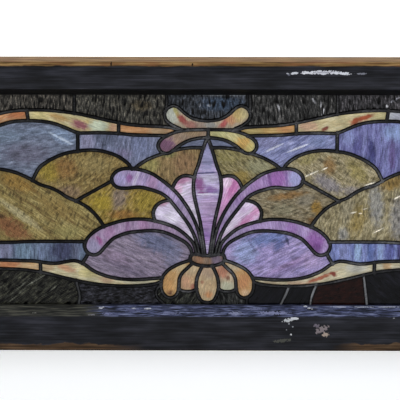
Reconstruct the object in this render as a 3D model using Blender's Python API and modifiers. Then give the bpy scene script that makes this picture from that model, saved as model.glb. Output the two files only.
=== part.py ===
import bpy
import bmesh
from math import sqrt
from mathutils import Matrix, Vector
from mathutils.bvhtree import BVHTree

# A transom window: a leaded panel of opalescent glass, held in a wooden sash by beads at its back.
# Lengths are in metres. +X runs along the window, +Z is up, and its face looks along -Y.

# Wooden sash
sash_width = 1.220
sash_height = 0.472
sash_depth = 0.0445
stile_face = 0.057
top_rail_face = 0.057
bottom_rail_face = 0.070
bevel_rise = 0.0135
bevel_run = 0.018
lip_run = 0.0085
rebate_cover = 0.010
tenon_thickness = 0.013
tenon_inset = 0.010

# Glazing beads behind the panel
bead_width = 0.011
bead_chamfer = 0.004

# Lead cames, H-shaped in section, and the glass in their channels
came_face = 0.006
came_depth = 0.006
came_heart = 0.0016
edge_heart = 0.003
glass_thickness = 0.003

# Clearance between pieces, and how far a straight stretch strays from its curve: less on the faces that show
fit_gap = 0.0003
face_error = 0.0014
heart_error = 0.0018

# Corners closer than this become one, and spaces between leads smaller than this hold no glass
corner_merge = 0.00005
crumb_volume = 5e-8

# Points this close are the same point of a section or a cut, and faces this near to level are one face (radians)
point_merge = 1e-6
section_level = 0.001
settled_level = 0.002

# The cartoon, in units of its own: x from the centre line and z up from the sill of the sight opening.
cartoon_width = 692
cartoon_height = 210
border_reach = 9

# Leads that run across the centre line, as their right halves from the centre outwards
across_leads = {
    "collar_end": [(0, 38.4), (6, 38.8), (12.5, 40.4), (16.6, 42.8), (17.3, 46.8), (15.2, 50), (11, 50.5),
                   (5.5, 49.3), (0, 48.9)],
    "middle_drop": [(0, 1.5), (5.5, 3), (9, 8.2), (10.9, 14.5), (11.2, 21), (10.2, 27), (8, 32.6), (4.8, 38.8)],
    "curl_underside": [(0, 166.9), (9.6, 165.9), (19.3, 163.5), (28.7, 158.3), (33.9, 153.9), (39.2, 151),
                       (44.3, 151.4), (48, 154.7), (49.2, 159.5), (46.5, 164.4), (41, 168.2), (35.8, 170.7),
                       (28, 172.9), (19.5, 174.2)],
    "curl_back": [(0, 183.2), (9.6, 184.3), (16.5, 186.7), (23.2, 191.3), (28.5, 196.2), (34, 198.2), (40, 195.4),
                  (42.8, 190), (41.4, 184.3), (37, 180.3), (31.5, 177.2), (26, 175)],
    "ribbon_edge": [(0, 174.6), (15, 174.4), (24, 174.2), (31, 174.9), (38, 176.8), (50, 177.8), (65, 178.4),
                    (80, 179.9), (95, 182.7), (110, 186), (125, 189.3), (140, 191.7), (160, 193.6), (180, 193.8),
                    (200, 191.8), (222, 185.2), (244, 173), (264, 156), (282, 134.5), (297, 108), (307, 82),
                    (312, 60), (311, 46.5), (302, 37.6), (286, 34.6), (255, 34.9), (220, 35.4), (190, 34.8),
                    (167, 32), (142, 26), (116, 20.6), (90, 18.3), (68, 18.5), (54, 20.2), (46.8, 22.4)],
}

# Leads that the left side repeats as a mirror image
mirrored_leads = {
    "spear_side": [(0, 167), (4.7, 154.8), (9.2, 139.3), (12.6, 130), (14, 119), (13.2, 109), (10.1, 95), (7.3, 83),
                   (4.8, 67), (2.3, 49.2)],
    "inner_petal": [(13.3, 127.4), (19.8, 128.8), (25.8, 128), (31.2, 123.8), (35.3, 116.1)],
    "upper_arm": [(4.6, 49.4), (6.6, 64), (10.9, 79), (17.3, 92.8), (26.8, 107), (35.5, 116.3), (45.8, 124.5),
                  (56, 131), (67.5, 134.7), (80, 136), (88.5, 134.2), (94, 129.8), (95.7, 124.8), (93.2, 119.3),
                  (88, 116.6), (80, 116.2), (68, 117.3), (57.8, 115.2), (47, 111.5), (39.1, 106), (29.9, 95),
                  (19.6, 81.2), (13.6, 70), (9.6, 58), (8, 49.8)],
    "outer_petal": [(37.4, 104.2), (43.5, 103.4), (50.3, 99.7), (54.3, 92), (52.6, 83.4)],
    "lower_arm": [(11, 50.4), (13.4, 59.6), (18.6, 66.7), (29.3, 75.4), (41.6, 80.7), (57.8, 84.7), (70, 85.4),
                  (82, 84.3), (94, 81.4), (106, 77), (114, 72.3), (120.3, 66), (123.2, 59), (120.6, 52.2),
                  (114.3, 49.4), (108.3, 51.4), (102, 58.3), (95.5, 65), (88, 69), (79, 71.8), (69.4, 73.1),
                  (56, 73.9), (44, 72.5), (32.5, 67.9), (22, 62), (16.8, 55.8), (15.4, 50)],
    "outer_drop": [(14.8, 41.4), (20, 36.3), (25, 31.6), (28, 26), (28.6, 20), (29, 14.5), (31.2, 9.4), (36, 6.5),
                   (41.3, 7.6), (45.2, 12.2), (46.6, 18.5), (46, 25), (43.3, 30), (39, 34.5), (33, 38.2),
                   (26, 41.4), (17.2, 44.3)],
    "inner_drop_foot": [(11.2, 15.4), (15, 13.3), (20, 12.7), (25, 13.3), (29, 15.4)],
    "curl_to_spear": [(4.3, 156.6), (15, 156.6), (25, 155.6), (34, 153.6)],
    "near_hill": [(43.4, 151.2), (51.4, 148.3), (58, 145.6), (64.5, 142), (69.5, 138.6), (72.8, 135.4)],
    "middle_hill": [(75.6, 135.8), (80, 141.4), (88, 147.2), (97, 151), (107, 153.4), (118, 154.1), (129.5, 153),
                    (140, 151.2), (150, 147.7), (160, 142.5), (168.5, 135.6), (174.6, 124.2)],
    "middle_hill_foot": [(95.6, 123.4), (131.6, 103.6)],
    "far_hill": [(103.6, 78), (108, 84.8), (114, 91.8), (121, 97.9), (131, 103.2), (140, 107), (148, 112.2),
                 (157, 116.6), (167, 119.6), (176, 124.6), (185, 129), (195, 132.6), (210, 135.4), (226, 135.6),
                 (244, 132), (262, 124.2), (279, 112), (288.2, 101.4)],
    "water_line": [(122.6, 62.9), (175, 62.8), (205, 61.8), (302, 61.8)],
    "lens_foot": [(45.6, 26.5), (56.5, 25.6), (68, 24.7), (80, 24.8), (92, 26), (104, 29), (114.5, 33.6),
                  (123, 39.6), (130, 42.9), (137, 43.4), (150, 41), (160, 41.2), (172, 42.9), (185, 43.5),
                  (220, 44.2), (260, 44.3), (285, 44.8), (296.5, 47.4), (300.5, 54), (299.6, 64), (295.5, 82),
                  (286, 106), (273, 128.5), (257, 147.5), (240, 161.8), (222, 172.4), (200, 180.8),
                  (185, 183.1), (165, 182.6), (151, 179.9), (139, 175.2), (132, 172.2), (126, 171), (110, 171.4),
                  (90, 170.8), (75, 169.4), (60, 168.9), (50, 168.7), (40, 168.4)],
    "lens_end": [(119.6, 51.3), (122, 46.5), (125.5, 41.2)],
    "sky_joint": [(129.3, 171.4), (129.3, 153)],
    "upper_ribbon_joint": [(88.5, 170.7), (88.5, 181.4)],
    "crest_ribbon_joint": [(178.5, 183.2), (180, 193.8)],
    "lower_ribbon_joint": [(167.6, 42.3), (167.4, 32)],
    "ribbon_turn": [(299.9, 61.8), (311.8, 61.8)],
    "corner": [(311.8, 50), (346 + border_reach, 50)],
}

# Leads that lie on the centre line or show on one side only, with hearts
single_leads = {
    "drop_tie": [(0, 1.5), (0, -border_reach)],
    "curl_joint": [(0.8, 174.6), (0.8, 166.9)],
    "red_glass_near": [(109.5, 19.6), (106.3, 12.5), (104.3, 6), (103.4, 0), (103.4, -border_reach)],
    "red_glass_far": [(156.8, 29.3), (158, 20), (160, 3), (160.5, -border_reach)],
}

# Leads whose two sides share one piece of glass here: faces only, with no heart between
surface_leads = {
    "left_curl_riser": [(-41.8, 192.5), (-40.5, 202), (-41.5, 210 + border_reach)],
    "right_curl_riser": [(42.4, 192.5), (42.6, 202), (41.2, 210 + border_reach)],
    "left_top_lead": [(-132.5, 190.6), (-132.5, 210 + border_reach)],
    "right_top_lead": [(129.5, 190.1), (129.5, 210 + border_reach)],
    "left_far_top_lead": [(-236, 177.8), (-248, 210 + border_reach)],
    "right_far_top_lead": [(236, 177.8), (248, 210 + border_reach)],
    "left_ribbon_turn": [(-256, 148.4), (-264, 156)],
    "right_ribbon_turn": [(256, 148.4), (264, 156)],
    "left_drop_lead": [(-47, 20), (-51.2, 14), (-50.6, 7.5), (-44.5, 1), (-36, -border_reach)],
    "right_drop_lead": [(39.5, 6.8), (39.8, -border_reach)],
    "left_sill_lead": [(-129, 24), (-129.5, 12), (-130, 3), (-131.5, -border_reach)],
    "right_sill_lead": [(82, 18.3), (78.5, 9.5), (74, 0.5), (71, -border_reach)],
}

# One place inside each piece of glass, its name and its kind
paired_glass = {
    "inner_petal": (22, 115, "pink"),
    "upper_arm": (60, 124, "lavender"),
    "outer_petal": (42, 92, "pink"),
    "lower_arm": (60, 79, "lavender"),
    "inner_drop": (19, 25, "cream"),
    "outer_drop": (37, 22, "cream"),
    "lens": (70, 45, "mauve"),
    "lower_curl": (30, 167, "cream"),
    "small_sky": (12, 160.5, "sky"),
    "near_hill": (35, 135, "amber"),
    "middle_hill": (125, 130, "amber"),
    "low_hill": (80, 100, "amber"),
    "far_hill": (180, 90, "amber"),
    "near_sky": (95, 162, "sky"),
    "far_sky": (160, 160, "sky"),
    "water": (180, 53, "sky"),
    "upper_ribbon": (65, 174, "cream"),
    "crest_ribbon": (130, 180, "cream"),
    "turning_ribbon": (200, 186.5, "cream"),
    "lower_ribbon": (110, 25, "cream"),
    "corner_ribbon": (180, 39, "cream"),
}
single_glass = {
    "spear": (0, 110, "lavender"),
    "collar": (0, 44, "cream"),
    "middle_drop": (0, 20, "cream"),
    "upper_curl": (0, 179, "cream"),
    "dark_top": (0, 200, "dark"),
    "dark_bottom_left": (-80, 8, "dark"),
    "dark_bottom_right": (60, 8, "dark"),
    "dark_red": (130, 8, "dark_red"),
    "dark_bottom_far_right": (220, 15, "dark"),
}

sash_colour = (0.025, 0.026, 0.03)
lead_colour = (0.12, 0.12, 0.13)
glass_colours = {
    "pink": (0.72, 0.55, 0.66),
    "lavender": (0.60, 0.50, 0.72),
    "mauve": (0.45, 0.36, 0.58),
    "cream": (0.78, 0.68, 0.52),
    "sky": (0.42, 0.46, 0.68),
    "amber": (0.45, 0.38, 0.20),
    "dark": (0.045, 0.05, 0.05),
    "dark_red": (0.09, 0.03, 0.03),
}

# Places worked out from the sizes above
sight_width = sash_width - 2 * stile_face
sight_height = sash_height - bottom_rail_face - top_rail_face
sight_middle = bottom_rail_face + sight_height / 2
front = -sash_depth / 2
back = sash_depth / 2
panel_front = front + bevel_run + lip_run + fit_gap
panel_middle = panel_front + came_depth / 2
panel_width = sight_width + 2 * (rebate_cover - fit_gap)
panel_height = sight_height + 2 * (rebate_cover - fit_gap)
margin = 0.02


def new_object(name, mesh, group):
    piece = bpy.data.objects.new(name, mesh)
    group.objects.link(piece)
    return piece


# A closed box between two corners
def box(name, low, high, group):
    body = bmesh.new()
    bmesh.ops.create_cube(body, size=1)
    size = Vector(high) - Vector(low)
    bmesh.ops.scale(body, vec=size, verts=body.verts)
    bmesh.ops.translate(body, vec=Vector(low) + size / 2, verts=body.verts)
    mesh = bpy.data.meshes.new(name)
    body.to_mesh(mesh)
    body.free()
    return new_object(name, mesh, group)


# A flat outline as a filled 2D curve, extruded both ways along its own Z, then made a mesh
def prism(name, outline, length, placement, group):
    curve = bpy.data.curves.new(name, "CURVE")
    curve.dimensions = "2D"
    curve.fill_mode = "BOTH"
    curve.extrude = length / 2
    spline = curve.splines.new("POLY")
    spline.points.add(len(outline) - 1)
    for point, (across, up) in zip(spline.points, outline):
        point.co = (across, up, 0, 1)
    spline.use_cyclic_u = True
    source = new_object(name, curve, group)
    mesh = bpy.data.meshes.new_from_object(source.evaluated_get(bpy.context.evaluated_depsgraph_get()))
    bpy.data.objects.remove(source)
    body = bmesh.new()
    body.from_mesh(mesh)
    bmesh.ops.remove_doubles(body, verts=body.verts, dist=point_merge)
    bmesh.ops.dissolve_limit(body, angle_limit=section_level, verts=body.verts, edges=body.edges)
    bmesh.ops.recalc_face_normals(body, faces=body.faces)
    body.to_mesh(mesh)
    body.free()
    mesh.name = name
    piece = new_object(name, mesh, group)
    piece.matrix_world = placement
    return piece


# One side's own axes: X runs back into the sash, Y in towards the glass and Z along the side
def side_placement(inward, place):
    depthwise = Vector((0, 1, 0))
    along = depthwise.cross(inward)
    turn = Matrix((depthwise, inward, along)).transposed().to_4x4()
    return Matrix.Translation(place) @ turn


# Both ends of a side cut at 45 degrees, from the corners of its outer strip
def mitre(piece, strip, half_length):
    body = bmesh.new()
    body.from_mesh(piece.data)
    for end in (1, -1):
        everything = body.verts[:] + body.edges[:] + body.faces[:]
        bmesh.ops.bisect_plane(body, geom=everything, plane_co=(0, strip, end * half_length),
                               plane_no=(0, 1, end), dist=point_merge, clear_outer=True)
        bmesh.ops.holes_fill(body, edges=[edge for edge in body.edges if edge.is_boundary])
    bmesh.ops.recalc_face_normals(body, faces=body.faces)
    body.to_mesh(piece.data)
    body.free()


def combine(piece, other, operation, self_overlap=False):
    step = piece.modifiers.new(other.name, "BOOLEAN")
    step.operation = operation
    step.object = other
    step.solver = "EXACT"
    step.use_self = self_overlap


# The evaluated shape becomes the piece's own mesh, without slivers or spare edges in its flat faces
def settle(piece):
    bpy.context.view_layer.update()
    mesh = bpy.data.meshes.new_from_object(piece.evaluated_get(bpy.context.evaluated_depsgraph_get()))
    piece.modifiers.clear()
    body = bmesh.new()
    body.from_mesh(mesh)
    bmesh.ops.remove_doubles(body, verts=body.verts, dist=corner_merge)
    bmesh.ops.dissolve_limit(body, angle_limit=settled_level, verts=body.verts, edges=body.edges)
    # A sliver can drop out when its corners merge: its gap is closed again
    bmesh.ops.holes_fill(body, edges=[edge for edge in body.edges if edge.is_boundary])
    body.to_mesh(mesh)
    body.free()
    piece.data = mesh


# The front face's outline in section, with its bevel, its lip and the rebate behind
def bar_section(face):
    return [(0, 0), (0, face - bevel_rise), (bevel_run, face), (bevel_run + lip_run, face),
            (bevel_run + lip_run, face - rebate_cover), (sash_depth, face - rebate_cover), (sash_depth, 0)]


def sash():
    shoulder = sash_width / 2 - (stile_face - bevel_rise)
    tenon_front = front + (sash_depth - tenon_thickness) / 2
    tenon_back = tenon_front + tenon_thickness
    cutters = []
    for name, face, inward, edge in (("bottom_rail", bottom_rail_face, 1, 0),
                                     ("top_rail", top_rail_face, -1, sash_height)):
        strip = face - bevel_rise
        placement = side_placement(Vector((0, 0, inward)), (0, front, edge))
        rail = prism(name, bar_section(face), 2 * shoulder, placement, parts)
        mitre(rail, strip, shoulder)
        low, high = sorted((edge + inward * tenon_inset, edge + inward * (strip - tenon_inset)))
        tenon = box(name + "_tenons", (-sash_width / 2, tenon_front, low), (sash_width / 2, tenon_back, high), tools)
        combine(rail, tenon, "UNION")
        settle(rail)
        paint(rail, sash_colour, 0.45)
        mortise = box(name + "_mortises", (-sash_width / 2 - margin, tenon_front - fit_gap, low - fit_gap),
                      (sash_width / 2 + margin, tenon_back + fit_gap, high + fit_gap), tools)
        corner = strip + fit_gap * (sqrt(2) - 1)
        tip = strip + bevel_rise + margin
        tip_half = shoulder + fit_gap * sqrt(2) - (tip - strip)
        half = [(-margin, shoulder + fit_gap), (corner, shoulder + fit_gap), (tip, tip_half)]
        outline = [(up, across) for up, across in half] + [(up, -across) for up, across in reversed(half)]
        upwards = Matrix(((0, inward, 0), (0, 0, 1), (inward, 0, 0))).to_4x4()
        socket = prism(name + "_socket", outline, sash_depth + 2 * margin,
                       Matrix.Translation((0, 0, edge)) @ upwards, tools)
        cutters += [mortise, socket]
    for name, inward in (("left_stile", 1), ("right_stile", -1)):
        placement = side_placement(Vector((inward, 0, 0)), (-inward * sash_width / 2, front, sash_height / 2))
        stile = prism(name, bar_section(stile_face), sash_height, placement, parts)
        for cutter in cutters:
            combine(stile, cutter, "DIFFERENCE")
        settle(stile)
        paint(stile, sash_colour, 0.45)


# Four beads in the rebate behind the panel, mitred where they meet
def glazing_beads():
    reach = bead_width - bead_chamfer
    depth = back - (panel_front + came_depth + fit_gap)
    section = [(0, 0), (0, bead_width), (depth - bead_chamfer, bead_width), (depth, reach), (depth, 0)]
    half_width = sight_width / 2 + rebate_cover - fit_gap
    half_height = sight_height / 2 + rebate_cover - fit_gap
    sides = (("left_bead", (1, 0), half_width, half_height), ("right_bead", (-1, 0), half_width, half_height),
             ("bottom_bead", (0, 1), half_height, half_width), ("top_bead", (0, -1), half_height, half_width))
    for name, (right, up), distance, half_length in sides:
        inward = Vector((right, 0, up))
        place = Vector((0, back - depth, sight_middle)) - inward * distance
        bead = prism(name, section, 2 * half_length, side_placement(inward, place), parts)
        mitre(bead, 0, half_length - fit_gap)
        paint(bead, sash_colour, 0.5)


def cartoon_point(x, z):
    return Vector((x * sight_width / cartoon_width, bottom_rail_face + z * sight_height / cartoon_height))


# A smooth curve through the points, as many short steps
def smooth(points):
    steps = 12
    before = points[0] * 2 - points[1]
    after = points[-1] * 2 - points[-2]
    run = [before] + points + [after]
    curve = []
    for a, b, c, d in zip(run, run[1:], run[2:], run[3:]):
        for step in range(steps):
            t = step / steps
            bend = (2 * a - 5 * b + 4 * c - d) * t ** 2 + (3 * b - a - 3 * c + d) * t ** 3
            curve.append((2 * b + (c - a) * t + bend) / 2)
    return curve + [points[-1]]


# The step between two others that strays furthest from the straight line between them, and how far to its left
def furthest(curve, first, last):
    along = (curve[last] - curve[first]).normalized()
    strays = [along.cross(point - curve[first]) for point in curve[first:last + 1]]
    far = max(range(len(strays)), key=lambda place: abs(strays[place]))
    return first + far, strays[far]


def kept_steps(curve, first, last, allowed):
    far, stray = furthest(curve, first, last)
    if abs(stray) <= allowed:
        return [first, last]
    return kept_steps(curve, first, far, allowed)[:-1] + kept_steps(curve, far, last, allowed)


# The fewest straight stretches that follow the curve, each moved out so that it strays equally to both sides
def traced(points, chord_error):
    curve = smooth([cartoon_point(x, z) for x, z in points])
    kept = kept_steps(curve, 0, len(curve) - 1, 2 * chord_error)
    strays = [furthest(curve, first, last)[1] for first, last in zip(kept, kept[1:])]
    line = [curve[step].copy() for step in kept]
    for place in range(1, len(kept) - 1):
        along = (curve[kept[place + 1]] - curve[kept[place - 1]]).normalized()
        line[place] += Vector((-along.y, along.x)) * (strays[place - 1] + strays[place]) / 4
    return line


def mirrored(line):
    return [Vector((-point.x, point.y)) for point in line]


# The place on another lead that is nearest to a lead's end
def nearest(point, lines):
    best = None
    for line in lines:
        for start, end in zip(line, line[1:]):
            span = end - start
            share = min(max((point - start).dot(span) / span.length_squared, 0), 1)
            place = start + span * share
            if best is None or (place - point).length < (best - point).length:
                best = place
    return best


# All leads as lines of straight stretches, each end brought on to the lead that it meets
def lead_lines(chord_error):
    halves = [traced(points, chord_error) for points in across_leads.values()]
    across = [mirrored(half)[:0:-1] + half for half in halves]
    right = [traced(points, chord_error) for points in mirrored_leads.values()]
    single = [traced(points, chord_error) for points in single_leads.values()]
    surface = [traced(points, chord_error) for points in surface_leads.values()]
    hearts = across + right + [mirrored(line) for line in right] + single
    for line in hearts + surface:
        others = [other for other in hearts if other is not line]
        for end in (0, -1):
            place = nearest(line[end], others)
            if (place - line[end]).length < came_face and line[0] != line[-1]:
                line[end] = place
    return hearts, surface


# Upright walls along the lines, for the hearts or the faces of the cames
def walls(name, lines, thickness, height):
    body = bmesh.new()
    for line in lines:
        closed = (line[0] - line[-1]).length < fit_gap
        row = [body.verts.new((point.x, -height / 2, point.y)) for point in line[:len(line) - closed]]
        for start, end in zip(row, row[1:] + row[:closed]):
            body.edges.new((start, end))
    raised = bmesh.ops.extrude_edge_only(body, edges=body.edges[:])["geom"]
    verts = [item for item in raised if isinstance(item, bmesh.types.BMVert)]
    bmesh.ops.translate(body, vec=(0, height, 0), verts=verts)
    bmesh.ops.recalc_face_normals(body, faces=body.faces)
    mesh = bpy.data.meshes.new(name)
    body.to_mesh(mesh)
    body.free()
    piece = new_object(name, mesh, tools)
    piece.location.y = panel_middle
    wall = piece.modifiers.new("thickness", "SOLIDIFY")
    wall.thickness = thickness
    wall.offset = 0
    wall.use_even_offset = True
    settle(piece)
    return piece


# A flat slab in the panel's plane, short of the panel's edge by an inset
def slab(name, inset, thickness):
    half_width = panel_width / 2 - inset
    half_height = panel_height / 2 - inset
    return box(name, (-half_width, panel_middle - thickness / 2, sight_middle - half_height),
               (half_width, panel_middle + thickness / 2, sight_middle + half_height), tools)


# The separate closed bodies of a mesh, as lists of faces
def islands(body):
    left = set(body.faces)
    while left:
        island = [left.pop()]
        for face in island:
            for edge in face.edges:
                for other in edge.link_faces:
                    if other in left:
                        left.remove(other)
                        island.append(other)
        yield island


def volume_of(island):
    total = 0
    for face in island:
        first = face.verts[0].co
        for second, third in zip(face.verts[1:], face.verts[2:]):
            total += first.dot(second.co.cross(third.co)) / 6
    return abs(total)


# A slab parted by walls, without the crumbs between walls that nearly touch
def parted(name, inset, thickness, cutter):
    piece = slab(name, inset, thickness)
    combine(piece, cutter, "DIFFERENCE", self_overlap=True)
    settle(piece)
    body = bmesh.new()
    body.from_mesh(piece.data)
    crumbs = [face for island in islands(body) if volume_of(island) < crumb_volume for face in island]
    bmesh.ops.delete(body, geom=crumbs, context="FACES")
    body.to_mesh(piece.data)
    body.free()
    return piece


def glass(hearts):
    cutter = walls("glass_cuts", hearts, came_heart + 2 * fit_gap, came_depth)
    sheet = parted("glass_sheet", edge_heart + fit_gap, glass_thickness, cutter)
    body = bmesh.new()
    body.from_mesh(sheet.data)
    body.faces.ensure_lookup_table()
    tree = BVHTree.FromBMesh(body)
    places = dict(single_glass)
    for name, (x, z, kind) in paired_glass.items():
        places["left_" + name] = (-x, z, kind)
        places["right_" + name] = (x, z, kind)
    bodies = list(islands(body))
    owner = {face.index: island for island in bodies for face in island}
    for name, (x, z, kind) in places.items():
        point = cartoon_point(x, z)
        index = tree.ray_cast((point.x, front, point.y), (0, 1, 0))[2]
        pane = new_object(name, mesh_of(owner[index], name), parts)
        paint(pane, glass_colours[kind], 0.15)


# A new mesh with copies of these faces
def mesh_of(faces, name):
    body = bmesh.new()
    copies = {}
    for face in faces:
        for vert in face.verts:
            if vert not in copies:
                copies[vert] = body.verts.new(vert.co)
        body.faces.new([copies[vert] for vert in face.verts])
    mesh = bpy.data.meshes.new(name)
    body.to_mesh(mesh)
    body.free()
    return mesh


# The lead net: a slab with the openings cut right through, and channels cut under the faces for the glass
def cames(hearts, faces):
    face_walls = walls("came_faces", faces, came_face, 3 * came_depth)
    heart_walls = walls("came_hearts", hearts, came_heart, 3 * came_depth)
    openings = parted("openings", rebate_cover, 2 * came_depth, face_walls)
    channels = parted("channels", edge_heart, glass_thickness + 2 * fit_gap, heart_walls)
    net = slab("lead_cames", 0, came_depth)
    parts.objects.link(net)
    tools.objects.unlink(net)
    combine(net, openings, "DIFFERENCE")
    combine(net, channels, "DIFFERENCE")
    settle(net)
    paint(net, lead_colour, 0.5, metallic=0.6)


def paint(piece, colour, roughness, metallic=0.0):
    material = bpy.data.materials.new(piece.name)
    material.use_nodes = True
    shader = material.node_tree.nodes["Principled BSDF"]
    shader.inputs["Base Color"].default_value = (*colour, 1)
    shader.inputs["Roughness"].default_value = roughness
    shader.inputs["Metallic"].default_value = metallic
    piece.data.materials.clear()
    piece.data.materials.append(material)


for item in list(bpy.data.objects):
    bpy.data.objects.remove(item)
parts = bpy.data.collections.new("leaded_window")
tools = bpy.data.collections.new("cutters")
bpy.context.scene.collection.children.link(parts)
bpy.context.scene.collection.children.link(tools)

sash()
glazing_beads()
heart_leads = lead_lines(heart_error)[0]
glass(heart_leads)
cames(heart_leads, sum(lead_lines(face_error), []))
for item in list(tools.objects):
    bpy.data.objects.remove(item)
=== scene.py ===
from math import cos, radians, sin

import bmesh
import bpy
from mathutils import Matrix, Vector, noise
from mathutils.bvhtree import BVHTree


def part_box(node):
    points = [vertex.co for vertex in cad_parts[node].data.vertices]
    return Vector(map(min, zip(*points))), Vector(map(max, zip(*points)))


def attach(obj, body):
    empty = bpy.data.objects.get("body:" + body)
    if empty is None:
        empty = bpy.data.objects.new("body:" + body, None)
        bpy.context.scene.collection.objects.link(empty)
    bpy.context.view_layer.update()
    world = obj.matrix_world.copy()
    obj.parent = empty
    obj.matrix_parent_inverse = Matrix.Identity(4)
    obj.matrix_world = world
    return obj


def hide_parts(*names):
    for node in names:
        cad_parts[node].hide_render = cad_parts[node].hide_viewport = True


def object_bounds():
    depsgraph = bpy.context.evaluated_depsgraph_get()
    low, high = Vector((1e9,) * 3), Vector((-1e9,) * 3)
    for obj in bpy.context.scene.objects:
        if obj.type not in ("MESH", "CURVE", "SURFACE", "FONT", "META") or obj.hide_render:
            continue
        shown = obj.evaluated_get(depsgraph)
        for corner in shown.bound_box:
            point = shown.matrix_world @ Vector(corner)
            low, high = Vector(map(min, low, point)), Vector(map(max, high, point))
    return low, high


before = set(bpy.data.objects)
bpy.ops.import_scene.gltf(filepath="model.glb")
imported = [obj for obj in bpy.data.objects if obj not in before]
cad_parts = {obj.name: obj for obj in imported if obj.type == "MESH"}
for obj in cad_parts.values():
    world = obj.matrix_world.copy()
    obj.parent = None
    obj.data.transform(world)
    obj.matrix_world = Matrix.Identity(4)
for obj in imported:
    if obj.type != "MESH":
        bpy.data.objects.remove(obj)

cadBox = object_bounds()
scene = bpy.context.scene
print("frame loaded")

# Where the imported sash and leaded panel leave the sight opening
sightLeft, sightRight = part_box("left_stile")[1].x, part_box("right_stile")[0].x
sightFoot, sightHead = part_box("bottom_rail")[1].z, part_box("top_rail")[0].z
panelLow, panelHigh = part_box("lead_cames")
panelMiddle = (panelLow.y + panelHigh.y) / 2
faceFront = cadBox[0].y

# The cartoon is drawn in units of about 1.6 mm, from the centre line and up from the bottom sight line
cartoon = {"width": 692, "height": 210, "loopGap": 0.0002, "jointReach": 0.006}

# Points closer than these are one point: of a lead, of a cut, of a cut pane and of a sash piece
touching = {"lead": 1e-6, "cut": 1e-6, "pane": 2e-5, "sash": 1e-5}

# Leads across the centre line, as right halves from the centre outwards
acrossLeads = {
    "collarEnd": [(0, 38.4), (6, 38.8), (12.5, 40.4), (16.6, 42.8), (17.3, 46.8), (15.2, 50), (11, 50.5),
                  (5.5, 49.3), (0, 48.9)],
    "middleDrop": [(0, 1.5), (5.5, 3), (9, 8.2), (10.9, 14.5), (11.2, 21), (10.2, 27), (8, 32.6), (4.8, 38.8)],
    "curlUnderside": [(0, 166.9), (9.6, 165.9), (19.3, 163.5), (28.7, 158.3), (33.9, 153.9), (39.2, 151),
                      (44.3, 151.4), (48, 154.7), (49.2, 159.5), (46.5, 164.4), (41, 168.2), (35.8, 170.7),
                      (28, 172.9), (19.5, 174.2)],
    "curlBack": [(0, 183.2), (9.6, 184.3), (16.5, 186.7), (23.2, 191.3), (28.5, 196.2), (34, 198.2), (40, 195.4),
                 (42.8, 190), (41.4, 184.3), (37, 180.3), (31.5, 177.2), (26, 175)],
    "ribbonEdge": [(0, 174.6), (15, 174.4), (24, 174.2), (31, 174.9), (38, 176.8), (50, 177.8), (65, 178.4),
                   (80, 179.9), (95, 182.7), (110, 186), (125, 189.3), (140, 191.7), (160, 193.6), (180, 193.8),
                   (200, 191.8), (222, 185.2), (244, 173), (264, 156), (282, 134.5), (297, 108), (307, 82),
                   (312, 60), (311, 46.5), (302, 37.6), (286, 34.6), (255, 34.9), (220, 35.4), (190, 34.8),
                   (167, 32), (142, 26), (116, 20.6), (90, 18.3), (68, 18.5), (54, 20.2), (46.8, 22.4)],
}

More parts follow.
